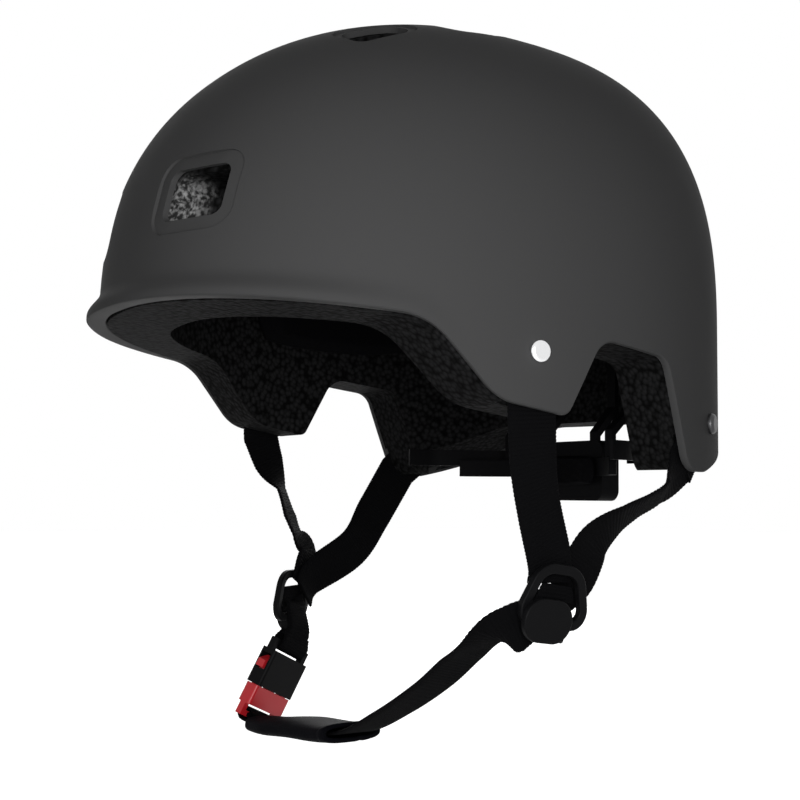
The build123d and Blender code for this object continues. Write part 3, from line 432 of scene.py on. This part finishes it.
def cut(target, solids):
    """Takes several separate closed solids out of a mesh at once."""
    verts, faces = [], []
    for v, f in solids:
        base = len(verts)
        verts += list(v)
        faces += [tuple(base + i for i in face) for face in f]
    cutter = mesh_object("cut", verts, faces, SHELL)
    tidy_normals(cutter)
    m = target.modifiers.new("cut", "BOOLEAN")
    m.operation = "DIFFERENCE"
    m.solver = "EXACT"
    m.object = cutter
    bpy.context.view_layer.objects.active = target
    bpy.ops.object.modifier_apply(modifier=m.name)
    bpy.data.objects.remove(cutter, do_unlink=True)


def crown_height(p, inset):
    """Height of the dome over a plan point, by halving."""
    top = RISE - inset
    length, power = (FRONT, P_FRONT) if p[1] < BACK else (REAR, P_REAR)
    low, high = 0.0, top
    for _ in range(30):
        h = (low + high) / 2
        share = h / top
        rx = (HALF - inset) * (1 - share ** P_SIDE) ** (1 / P_SIDE)
        ry = (length - inset) * (1 - share ** power) ** (1 / power)
        across, along = abs(p[0]) / max(rx, 1e-6), abs(p[1] - BACK) / max(ry, 1e-6)
        low, high = (h, high) if across ** PLAN + along ** PLAN < 1 else (low, h)
    return h


def wall_reach(p, inset, length, power):
    """Distance from the widest line to the dome's front or rear, at a place across and up."""
    rx = float(reach(HALF, P_SIDE, p[1], inset))
    return float(reach(length, power, p[1], inset)) * (1 - (abs(p[0]) / rx) ** PLAN) ** (1 / PLAN)


def front_reach(p, inset):
    return wall_reach(p, inset, FRONT, P_FRONT)


def rear_reach(p, inset):
    return wall_reach(p, inset, REAR, P_REAR)


def to_front(p, depth):
    return p[0], BACK - depth, p[1] + BELT


def to_rear(p, depth):
    return p[0], BACK + depth, p[1] + BELT


def to_crown(p, depth):
    return p[0], p[1], depth + BELT


# Vents of one side: how a place is reached, the dome's depth there, the centre, and width,
# height and corner radius of the opening and of the shallow step round it
VENTS = [(to_front, front_reach, (40.3, 37.0), (27.0, 19.5, 4.0), (37.0, 29.5, 8.0)),
         (to_rear, rear_reach, (33.0, 52.0), (26.0, 16.0, 4.0), (36.0, 26.0, 8.0))]
VENTS += [(to_crown, crown_height, (50.0, y), (17.0, 25.0, 6.0), (24.0, 32.0, 9.0))
          for y in (-52, -8, 36)]

# The step's depth, the shares of its outline where its floor is drawn, then the share and depth
# of the cutter's edge, which is past the outline and over the dome, and the cutter's outer end
STEP_DEPTH, FLOOR_SHARES = 0.9, (0.3, 0.6, 0.8, 0.93, 0.985)
PAST_EDGE, OVER_DOME, STEP_TO = 1.03, -1.2, 200


def bezel(outline, centre, place, depth):
    """Cutter for the step round a vent: its floor follows the dome a little way in."""
    def grown(p, share):
        return tuple(c + (q - c) * share for c, q in zip(centre, p))

    n = len(outline)
    rings = [(share, STEP_DEPTH) for share in FLOOR_SHARES] + [(PAST_EDGE, OVER_DOME)]
    verts = [place(centre, depth(centre, STEP_DEPTH))]
    for share, inset in rings:
        verts += [place(q, depth(q, inset)) for q in (grown(p, share) for p in outline)]
    verts += [place(grown(p, PAST_EDGE), STEP_TO) for p in outline]
    faces = [(0, 1 + (i + 1) % n, 1 + i) for i in range(n)]
    for k in range(len(rings)):
        a, b = 1 + k * n, 1 + (k + 1) * n
        faces += [(a + i, a + (i + 1) % n, b + (i + 1) % n, b + i) for i in range(n)]
    faces.append(tuple(1 + len(rings) * n + i for i in range(n))[::-1])
    return verts, faces


steps, openings = [], []
for side in (1, -1):
    for place, depth, (x, y), opening, around in VENTS:
        steps.append(bezel(rounded_rect(side * x, y, *around), (side * x, y), place, depth))
        openings.append(prism(rounded_rect(side * x, y, *opening), place))
shell = build_shell()
cut(shell, steps)
cut(shell, openings)
SHARP_ANGLE = math.radians(32)
shell.data.set_sharp_from_angle(angle=SHARP_ANGLE)
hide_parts("outer_shell")
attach(shell, "root")


# Straps
def facing(yaw, tilt):
    a, b = math.radians(yaw), math.radians(tilt)
    return vec(math.cos(a) * math.cos(b), math.sin(a) * math.cos(b), math.sin(b))


def make_plane(x, y, h, yaw, tilt, roll):
    """Origin, x, y and z of a divider's plane: z out, y up, rolled about z."""
    z = facing(yaw, tilt)
    ex = unit(np.cross((0, 0, 1), z))
    ey = np.cross(z, ex)
    c, s = math.cos(math.radians(roll)), math.sin(math.radians(roll))
    u = ex * c + ey * s
    return vec(x, y, h + BELT), u, np.cross(z, u), z


def on(plane, u, v, n):
    return plane[0] + plane[1] * u + plane[2] * v + plane[3] * n


# Planes of the two dividers and of the buckle, and how far in from the shell's outside the middle
# of the webbing lies
LEFT_PLANE = make_plane(95.0, -0.8, -110.0, 0, -9, -8)
RIGHT_PLANE = make_plane(-86.0, -9.5, -122.5, 214, 0, 0)
buckle_out = unit((0.920, 0.310, -0.240))
buckle_across = vec(-0.380, 0.842, -0.385)
buckle_across = unit(buckle_across - buckle_out * (buckle_across @ buckle_out))
BUCKLE_PLANE = (vec(-82.5, -22.0, -159.6 + BELT), buckle_across,
                np.cross(buckle_out, buckle_across), buckle_out)
STRAP_INSET = WALL + 0.8 + WEB_T / 2


def wall_x(y):
    length = FRONT if y < BACK else REAR
    return HALF * (1 - (abs(y - BACK) / length) ** PLAN) ** (1 / PLAN)


def wall_row(y, h, side):
    """Station of webbing that lies on the inside of the shell's wall."""
    slope = (wall_x(y + 3) - wall_x(y - 3)) / 6
    n = unit((side, -slope, 0))
    return [vec(side * wall_x(y), y, h + BELT) - n * STRAP_INSET, n, 1.0, 1.0]


def drape(start, end, shares):
    """Stations between two ends: share along the span, drift as shares of it, yaw and tilt."""
    span = end - start
    length = np.linalg.norm(span)
    return [[start + span * a + vec(x, y, z) * length, facing(yaw, tilt), 1.0, 1.0]
            for a, x, y, z, yaw, tilt in shares]


def ease(rows, steps):
    """Smooth curve through the stations: place, face, and shares of the width and thickness."""
    out = []
    n = len(rows)
    for i in range(n - 1):
        a, b, c, d = (rows[min(max(i + k, 0), n - 1)] for k in (-1, 0, 1, 2))
        for k in range(steps):
            t = k / steps
            p = b[0] * (2 * t ** 3 - 3 * t ** 2 + 1) + c[0] * (3 * t ** 2 - 2 * t ** 3)
            p = p + (c[0] - a[0]) / 2 * (t ** 3 - 2 * t ** 2 + t)
            p = p + (d[0] - b[0]) / 2 * (t ** 3 - t ** 2)
            q = [b[m] * (1 - t) + c[m] * t for m in (1, 2, 3)]
            out.append([p, *q])
    return out + [rows[-1]]


def resample(rows, pitch):
    """Even steps along the run: distance, place, side, face, and shares of width and thickness."""
    pts = np.array([r[0] for r in rows])
    along = np.concatenate([[0], np.cumsum(np.linalg.norm(np.diff(pts, axis=0), axis=1))])
    count = max(int(round(along[-1] / pitch)), 4)
    s = np.linspace(0, along[-1], count + 1)

    def even(a):
        return np.stack([np.interp(s, along, a[:, k]) for k in range(a.shape[1])], 1)

    p = even(pts)
    f = even(np.array([r[1] for r in rows]))
    w = even(np.array([[r[2], r[3]] for r in rows]))
    tan = np.gradient(p, axis=0)
    tan /= np.linalg.norm(tan, axis=1)[:, None]
    side = np.cross(f, tan)
    side /= np.linalg.norm(side, axis=1)[:, None]
    return s, p, side, np.cross(tan, side), w


def web_mesh(rows):
    """Ribbed webbing along stations: crosswise ribs in the faces and a slightly toothed edge."""
    s, p, side, out, w = resample(rows, RIB_PITCH / 6)
    ridge = np.abs(np.cos(np.pi * s / RIB_PITCH)) ** RIB_ROUND
    across = np.array([-1, -0.985, -0.9, -0.6, -0.2, 0.2, 0.6, 0.9, 0.985, 1.0])
    verts, uvs = [], []
    edge = RIB_TEETH * (ridge - 0.5)
    loop_n = 2 * len(across)
    for i in range(len(s)):
        hw = WEB_W / 2 * w[i, 0] + edge[i]
        ht = WEB_T / 2 * w[i, 1]
        for sign, line in ((1, across), (-1, across[::-1])):
            for a in line:
                soft = 1 - THINNER_BY * smooth(THINNER_FROM, 1.0, abs(a))
                rise = (ht - RIB_DEPTH * (1 - ridge[i])) * soft
                verts.append(p[i] + side[i] * a * hw + out[i] * sign * rise)
                uvs.append((a * 10 + (0 if sign > 0 else 30), s[i]))
    faces = grid_faces(len(s), loop_n, True)
    faces.append(tuple(range(loop_n)))
    faces.append(tuple(range((len(s) - 1) * loop_n, len(s) * loop_n))[::-1])
    return verts, faces, uvs


def add_web(name, rows, node, extra=None):
    verts, faces, uvs = web_mesh(rows)
    if extra is not None:
        v2, f2, u2 = extra
        base = len(verts)
        verts = list(verts) + list(v2)
        faces = list(faces) + [tuple(base + i for i in f) for f in f2]
        uvs = list(uvs) + list(u2)
    o = mesh_object(name, verts, faces, WEB, uvs)
    tidy_normals(o)
    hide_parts(node)
    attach(o, "root")


# Stations of the hanging straps, as drape takes them: left or right, front or rear, and chin
LEFT_FRONT = ((0.33, 0.03, -0.06, 0.0, -5, 0), (0.64, 0.02, -0.05, 0.0, 0, -4))
LEFT_REAR = ((0.216, 0.017, 0.021, -0.025, 4, -58), (0.389, 0.019, -0.006, 0.002, 0, -60),
             (0.562, 0.014, -0.035, 0.033, 0, -52), (0.775, 0.0, -0.048, 0.046, 0, -28))
RIGHT_FRONT = ((0.2, -0.03, 0.012, 0.0, 200, 0), (0.394, -0.04, 0.045, 0.002, 232, 0),
               (0.602, -0.03, 0.039, 0.003, 226, 0), (0.738, -0.025, 0.044, 0.006, 232, 0),
               (0.88, -0.022, 0.08, 0.012, 218, 0))
RIGHT_REAR = ((0.342, -0.013, 0.041, -0.049, 185, -20), (0.649, 0.03, 0.055, -0.061, 200, -10))
CHIN = ((0.054, 0.003, -0.021, -0.003, 0, -12), (0.159, 0.008, -0.010, -0.020, 0, -25),
        (0.285, 0.018, 0.0, -0.049, 0, -32), (0.448, 0.027, 0.004, -0.075, 0, -42),
        (0.621, 0.031, 0.004, -0.087, 0, -72), (0.818, 0.015, 0.003, -0.043, 0, -90),
        (0.918, 0.008, -0.002, -0.023, 200, -78), (0.965, 0.004, -0.002, -0.012, 205, -74))

# Places on the shell, along Y and up, where the webbing starts and where it leaves the wall
FRONT_TOP, FRONT_EXIT = (-19.6, -12.4), (-19.6, -41.9)
REAR_RIVET, REAR_EXIT = vec(80.2, -40.3), vec(61.5, -57.2)

# Shares of the way from the rear rivet to the exit; the webbing starts on the rivet's other side
REAR_SHARES = (-7.0 / 35.6, 0, 0.35, 0.7)

# Places in a divider's plane: its layers of webbing, its top, and where the straps end in it
FRONT_N, REAR_N, WINDOW_N = -1.1, -3.4, 1.1
RING_TOP, STRAP_STOP = 15.4, 7.7
REAR_ENTRY, REAR_STOP = (12.5, 11.5), (4.4, 3.85)

# Steps of the smooth curve from one station to the next, along a strap and round a bar
STEPS, BAR_STEPS = 12, 3


def at(plane, u, v, n, wide=1.0, thick=1.0):
    return [on(plane, u, v, n), plane[3], wide, thick]


def front_rows(side, plane, shares, u):
    top, leave = wall_row(*FRONT_TOP, side), wall_row(*FRONT_EXIT, side)
    entry, stop = at(plane, u, RING_TOP, FRONT_N), at(plane, u * 0.6, STRAP_STOP, FRONT_N)
    return [top] + ease([leave] + drape(leave[0], entry[0], shares) + [entry, stop], STEPS)


def rear_rows(side, plane, shares):
    def run(share):
        return wall_row(*(REAR_RIVET + (REAR_EXIT - REAR_RIVET) * share), side)

    leave = run(1)
    entry, stop = (at(plane, side * u, v, REAR_N) for u, v in (REAR_ENTRY, REAR_STOP))
    first = [run(share) for share in REAR_SHARES]
    return first + ease([leave] + drape(leave[0], entry[0], shares) + [entry, stop], STEPS)


add_web("left_front_web", front_rows(1, LEFT_PLANE, LEFT_FRONT, -4.0), "left_front_strap")
add_web("right_front_web", front_rows(-1, RIGHT_PLANE, RIGHT_FRONT, -9.0), "right_front_strap")
add_web("left_rear_web", rear_rows(1, LEFT_PLANE, LEFT_REAR), "left_rear_strap")
add_web("right_rear_web", rear_rows(-1, RIGHT_PLANE, RIGHT_REAR), "right_rear_strap")


def through(plane):
    """Start of the webbing that comes through a divider's window and passes its lower bar."""
    return [at(plane, 0, STRAP_STOP, WINDOW_N, 0.7), at(plane, 0, 1.5, WINDOW_N, 0.95),
            at(plane, 0, -1.5, FRONT_N, 0.95)]


# Short right strap: neck from the divider, a join, then the loop round the socket's bar.
# Places on the buckle are along it and out of it.
BAR_Y, LOOP_R = 17.9, 2.75
outer = -BUCKLE_PLANE[3]
neck = [on(BUCKLE_PLANE, 0, 27.2, 0), outer, 0.8, 2.0]
join = [on(BUCKLE_PLANE, 0, 21.9, 0), outer, 1.0, 2.0]
short = ease(through(RIGHT_PLANE) + [neck, join], STEPS)


def wrap_rows(points):
    """Stations of a loop drawn in the buckle's side view, faces turned outward."""
    pts = np.array(points, float)
    tan = np.gradient(pts, axis=0)
    rows = []
    for (y, z), (ty, tz) in zip(pts, tan):
        n = unit((tz, -ty))
        face = BUCKLE_PLANE[2] * n[0] + BUCKLE_PLANE[3] * n[1]
        rows.append([on(BUCKLE_PLANE, 0, y, z), face, 1.0, 1.0])
    return rows


def arc(cy, cz, r, a0, a1, n):
    return [(cy + r * math.cos(math.radians(a0 + (a1 - a0) * i / n)),
             cz + r * math.sin(math.radians(a0 + (a1 - a0) * i / n))) for i in range(n + 1)]


socket_path = [(24.5, 0.9), (22.6, 1.6), (20.4, LOOP_R)]
socket_path += arc(BAR_Y, 0, LOOP_R, 90, 270, 12) + [(y, -z) for y, z in socket_path[::-1]]
socket_loop = web_mesh(ease(wrap_rows(socket_path), BAR_STEPS))
add_web("right_short_web", short, "right_short_strap", socket_loop)

# Chin strap: out of the left divider, under the chin and round the plug's bar
chin_first = [at(LEFT_PLANE, -7.0, -6.5, FRONT_N - 0.17, 0.85),
              at(LEFT_PLANE, -14.0, -10.6, FRONT_N - 0.17)]
chin_end = [on(BUCKLE_PLANE, 0, -17.95, 5.8), -BUCKLE_PLANE[2], 1.0, 1.9]
chin_base = through(LEFT_PLANE) + chin_first
chin_base += drape(chin_base[-1][0], chin_end[0], CHIN) + [chin_end]
chin = ease(chin_base, STEPS)
plug_path = [(-17.0, 7.0), (-16.2, 5.0), (-15.2, 2.5)] + arc(-BAR_Y, 0, LOOP_R, 0, -180, 12)
plug_path += [(-20.6, 2.5), (-19.8, 5.0), (-18.9, 7.0)]
add_web("chin_web", chin, "chin_strap", web_mesh(ease(wrap_rows(plug_path), BAR_STEPS)))


# Padded sleeve on the chin strap: half width, half thickness, the powers that round its section,
# how much narrower it gets over its last length, and its lengthwise seam
SLEEVE_W, SLEEVE_T, SLEEVE_N = 15.0, 3.9, 112
ROUND_X, ROUND_Y = 0.62, 0.72
TAPER_BY, TAPER_LENGTH = 1.5, 16
SEAM_AT, SEAM_DEPTH, SEAM_W = 5.0, 0.5, 0.8

# Hem at the open end: the roll's place and width along, the stitches' place, width and depth, and
# the roll's height at the sides and on the faces
ROLL_AT, ROLL_W, HEM_AT, HEM_W, HEM_SHARE = 2.2, 1.3, 4.6, 0.7, 0.5
HEM_X, HEM_Y = 0.25, 0.28


def sleeve_mesh():
    """Tube with a rounded section, a hem at its open end and a seam along its outer face."""
    # four spans from the strap's end, without the last one, which turns to the plug
    rows = chin[(len(chin_base) - 5) * STEPS:-STEPS]
    s, p, side, out, _ = resample(rows, 1.0)
    angles = np.linspace(0, 2 * np.pi, SLEEVE_N, endpoint=False)
    total = s[-1]

    def ring(i, grow, thick):
        pts = []
        width = SLEEVE_W + grow - TAPER_BY * smooth(total - TAPER_LENGTH, total, s[i])
        for a in angles:
            c, d = math.cos(a), math.sin(a)
            x = width * math.copysign(abs(c) ** ROUND_X, c)
            y = thick * math.copysign(abs(d) ** ROUND_Y, d)
            groove = SEAM_DEPTH * math.exp(-((x - SEAM_AT) / SEAM_W) ** 2) if y > 0 else 0.0
            pts.append(p[i] + side[i] * x + out[i] * (y - groove))
        return pts

    rings = []
    for i in range(len(s)):
        roll = math.exp(-((s[i] - ROLL_AT) / ROLL_W) ** 2)
        hem = roll - HEM_SHARE * math.exp(-((s[i] - HEM_AT) / HEM_W) ** 2)
        rings.append(ring(i, HEM_X * hem, SLEEVE_T + HEM_Y * hem))
    # the open end is hollow for a short way, and both ends are drawn in a little
    inner = [ring(i, -2.2, 2.2) for i in range(12)]
    seq = inner[::-1] + [ring(0, -0.9, 3.1)] + rings + [ring(len(s) - 1, -2.0, 2.4)]
    verts = [v for r in seq for v in r]
    o = mesh_object("sleeve_tube", verts, grid_faces(len(seq), SLEEVE_N, True), SLEEVE)
    tidy_normals(o)
    return o


sleeve = sleeve_mesh()
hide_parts("chin_sleeve")
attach(sleeve, "root")


# Comfort pads: thickness of those on the wall, how far each outline is rounded, where the edge
# starts to fall and what share of the thickness is left at its end
WALL_PAD = 8.0
PAD_ROUND, FALL_FROM, EDGE_LEFT = 0.26, 0.80, 0.16

# Stitching inside a pad's edge: place, width and depth; ripples of the cover: height and counts;
# and the least thickness and the gap to what the pad lies on
STITCH_AT, STITCH_W, STITCH_DEPTH = 0.90, 0.03, 0.6
RIPPLE, RIPPLE_U, RIPPLE_UV, RIPPLE_V = 0.12, 13, 3, 9
LEAST, LIFT = 0.5, 0.15


def wall_point(turn, h, inset):
    x, y = plan(np.array(math.radians(turn)), np.array(float(h)), inset)
    return vec(float(x), float(y), h + BELT)


def inner_normal(turn, h, inset):
    a = wall_point(turn + 1, h, inset) - wall_point(turn - 1, h, inset)
    b = wall_point(turn, h + 1, inset) - wall_point(turn, h - 1, inset)
    return unit(np.cross(b, a))


def cushion(name, where, thick, node):
    """Stuffed pad over a patch: where(u, v), from -1 to 1, gives a point and the way in."""
    nu, nv = 56, 32
    front, back = [], []
    for i in range(nv):
        for j in range(nu):
            u0, v0 = -1 + 2 * j / (nu - 1), -1 + 2 * i / (nv - 1)
            # square grid drawn into a rounded outline
            u = u0 * math.sqrt(1 - PAD_ROUND * v0 * v0)
            v = v0 * math.sqrt(1 - PAD_ROUND * u0 * u0)
            p, n = where(u, v)
            edge = max(abs(u0), abs(v0))
            rim = float(1 - smooth(FALL_FROM, 1.0, edge)) ** 0.5
            seam = STITCH_DEPTH * math.exp(-((edge - STITCH_AT) / STITCH_W) ** 2)
            ripple = RIPPLE * math.sin(RIPPLE_U * u0 + RIPPLE_UV * v0) * math.sin(RIPPLE_V * v0)
            t = thick * (EDGE_LEFT + (1 - EDGE_LEFT) * rim) - seam + ripple * rim
            front.append(p + n * max(t, LEAST))
            back.append(p + n * LIFT)
    verts = front + back
    faces = grid_faces(nv, nu) + [tuple(reversed(f)) for f in grid_faces(nv, nu, offset=nu * nv)]
    ring = list(range(nu)) + [i * nu + nu - 1 for i in range(1, nv)]
    ring += [(nv - 1) * nu + j for j in range(nu - 2, -1, -1)]
    ring += [i * nu for i in range(nv - 2, 0, -1)]
    m = nu * nv
    for a, b in zip(ring, ring[1:] + ring[:1]):
        faces.append((a, b, b + m, a + m))
    o = mesh_object(name, verts, faces, CLOTH)
    tidy_normals(o)
    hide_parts(node)
    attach(o, "root")


def wall_cushion(name, mid_turn, spread, level, tall, node):
    """Pad on the inside of the liner's wall."""
    def where(u, v):
        turn, h = mid_turn + spread * u, level + tall / 2 * v
        return wall_point(turn, h, PAD), inner_normal(turn, h, PAD)
    cushion(name, where, WALL_PAD, node)


# Crown pad: half its size across and along, and how its inward way leans with the dome
CROWN_HALF, CROWN_LEAN = (33.0, 44.0), (0.004, 0.003)


def crown_where(u, v):
    x, y = CROWN_HALF[0] * u, CROWN_HALF[1] * v
    inward = unit((-x * CROWN_LEAN[0], (BACK - y) * CROWN_LEAN[1], -1))
    return vec(x, y, crown_height((x, y), PAD) + BELT), inward


# Middle and half spread round the head in degrees, level over the belt and height
wall_cushion("brow_cushion", 0, 44, 18, 28, "brow_pad")
wall_cushion("left_cushion", 89, 23, 20, 40, "left_side_pad")
wall_cushion("right_cushion", -89, 23, 20, 40, "right_side_pad")
wall_cushion("rear_cushion", 180, 32, 14, 30, "rear_pad")
cushion("crown_cushion", crown_where, 6.8, "crown_pad")


# Nape pad on the cradle's band: the band's centre along Y, its radius, and the pad's half width,
# level over the belt and half height
BAND_Y, BAND_R, NAPE_HALF = 20.0, 69.7, 24.0
NAPE_LEVEL, NAPE_HALF_TALL = -58, 7


def nape_where(u, v):
    a = math.asin(NAPE_HALF * u / BAND_R)
    n = vec(-math.sin(a), -math.cos(a), 0)
    return vec(0, BAND_Y, BELT + NAPE_LEVEL + NAPE_HALF_TALL * v) - n * (BAND_R - 0.1), n


cushion("nape_cushion", nape_where, 3.9, "nape_pad")


# Camera: turn to the wearer's left, tilt and roll in degrees, then its distance from the belt's
# middle and its shifts right and up in millimetres
TURN, TILT, ROLL = 56.69, -4.55, 0.65
FAR, ASIDE, RAISED = 544.1, -17.24, -28.26
LENS, SENSOR = 54.94, 36


def camera():
    a, e, roll = math.radians(TURN), math.radians(TILT), math.radians(ROLL)
    right = vec(math.cos(a), math.sin(a), 0)
    back = vec(math.sin(a) * math.cos(e), -math.cos(a) * math.cos(e), math.sin(e))
    up = np.cross(back, right)
    place = back * FAR + right * ASIDE + up * RAISED + vec(0, BACK, BELT)
    r2 = right * math.cos(roll) + up * math.sin(roll)
    u2 = -right * math.sin(roll) + up * math.cos(roll)
    data = bpy.data.cameras.new("camera")
    data.lens = LENS
    data.sensor_width = SENSOR
    data.clip_start = 0.01
    o = bpy.data.objects.new("camera", data)
    bpy.context.collection.objects.link(o)
    m = Matrix.Identity(4)
    for i, col in enumerate((r2, u2, back)):
        for j in range(3):
            m[j][i] = col[j]
    for j in range(3):
        m[j][3] = place[j] * MM
    o.matrix_world = m
    bpy.context.scene.camera = o
    return Vector(right), Vector(back)


right, back = camera()


def area(name, place, target, size, energy):
    data = bpy.data.lights.new(name, "AREA")
    data.shape = "SQUARE"
    data.size = size
    data.energy = energy
    o = bpy.data.objects.new(name, data)
    bpy.context.collection.objects.link(o)
    o.location = place
    o.rotation_euler = (target - place).to_track_quat("-Z", "Y").to_euler()


# Lamps, in metres from the middle of the helmet: towards the camera, right, up, size and power
LAMPS = {"key": (0.5, 0.02, 0.0, 0.22, 1.75),
         "fill_left": (0.7, -0.9, 0.02, 0.7, 0.5),
         "fill_back": (-1.0, -0.1, 0.0, 0.7, 5.0)}
centre = Vector((0, 0, -0.09))
for name, (near, aside, raised, size, power) in LAMPS.items():
    place = centre + back * near + right * aside + Vector((0, 0, raised))
    area(name, place, centre, size, power)


def white_when_seen(tree, base, glow, target):
    """Gives target the glow for camera, glossy and transmission rays, and the base for others."""
    path = tree.nodes.new("ShaderNodeLightPath")
    first = tree.nodes.new("ShaderNodeMath")
    second = tree.nodes.new("ShaderNodeMath")
    mixer = tree.nodes.new("ShaderNodeMixShader")
    for m in (first, second):
        m.operation = "MAXIMUM"
    tree.links.new(path.outputs["Is Camera Ray"], first.inputs[0])
    tree.links.new(path.outputs["Is Glossy Ray"], first.inputs[1])
    tree.links.new(first.outputs[0], second.inputs[0])
    tree.links.new(path.outputs["Is Transmission Ray"], second.inputs[1])
    tree.links.new(second.outputs[0], mixer.inputs["Fac"])
    tree.links.new(base, mixer.inputs[1])
    tree.links.new(glow, mixer.inputs[2])
    tree.links.new(mixer.outputs[0], target)


# Brightness of the surroundings where they are seen and as light, and the floor's own glow
SEEN, LIT, FLOOR_GLOW = 1.0, 0.09, 0.93
world = bpy.data.worlds.new("studio")
bpy.context.scene.world = world
world.use_nodes = True
wt = world.node_tree
wt.nodes.clear()
out_node = wt.nodes.new("ShaderNodeOutputWorld")
seen = wt.nodes.new("ShaderNodeBackground")
lit = wt.nodes.new("ShaderNodeBackground")
for n, strength in ((seen, SEEN), (lit, LIT)):
    n.inputs["Strength"].default_value = strength
    n.inputs["Color"].default_value = (1, 1, 1, 1)
white_when_seen(wt, lit.outputs[0], seen.outputs[0], out_node.inputs["Surface"])

# The floor is lifted to white where it is seen, and still takes the soft shadow
floor_mat, ftree, fbsdf = material("floor_paper", (0.6, 0.6, 0.6), 0.9, spec=0.1)
glow = ftree.nodes.new("ShaderNodeEmission")
glow.inputs["Strength"].default_value = FLOOR_GLOW
both = ftree.nodes.new("ShaderNodeAddShader")
ftree.links.new(fbsdf.outputs["BSDF"], both.inputs[0])
ftree.links.new(glow.outputs["Emission"], both.inputs[1])
white_when_seen(ftree, fbsdf.outputs["BSDF"], both.outputs[0],
                ftree.nodes["Material Output"].inputs["Surface"])
FLOOR_LEVEL, FLOOR_HALF = -300, 4000
corners = ((-1, -1), (1, -1), (1, 1), (-1, 1))
floor = mesh_object("floor", [(x * FLOOR_HALF, y * FLOOR_HALF, FLOOR_LEVEL) for x, y in corners],
                    [(0, 1, 2, 3)], floor_mat)
bpy.context.scene.view_settings.view_transform = "Standard"
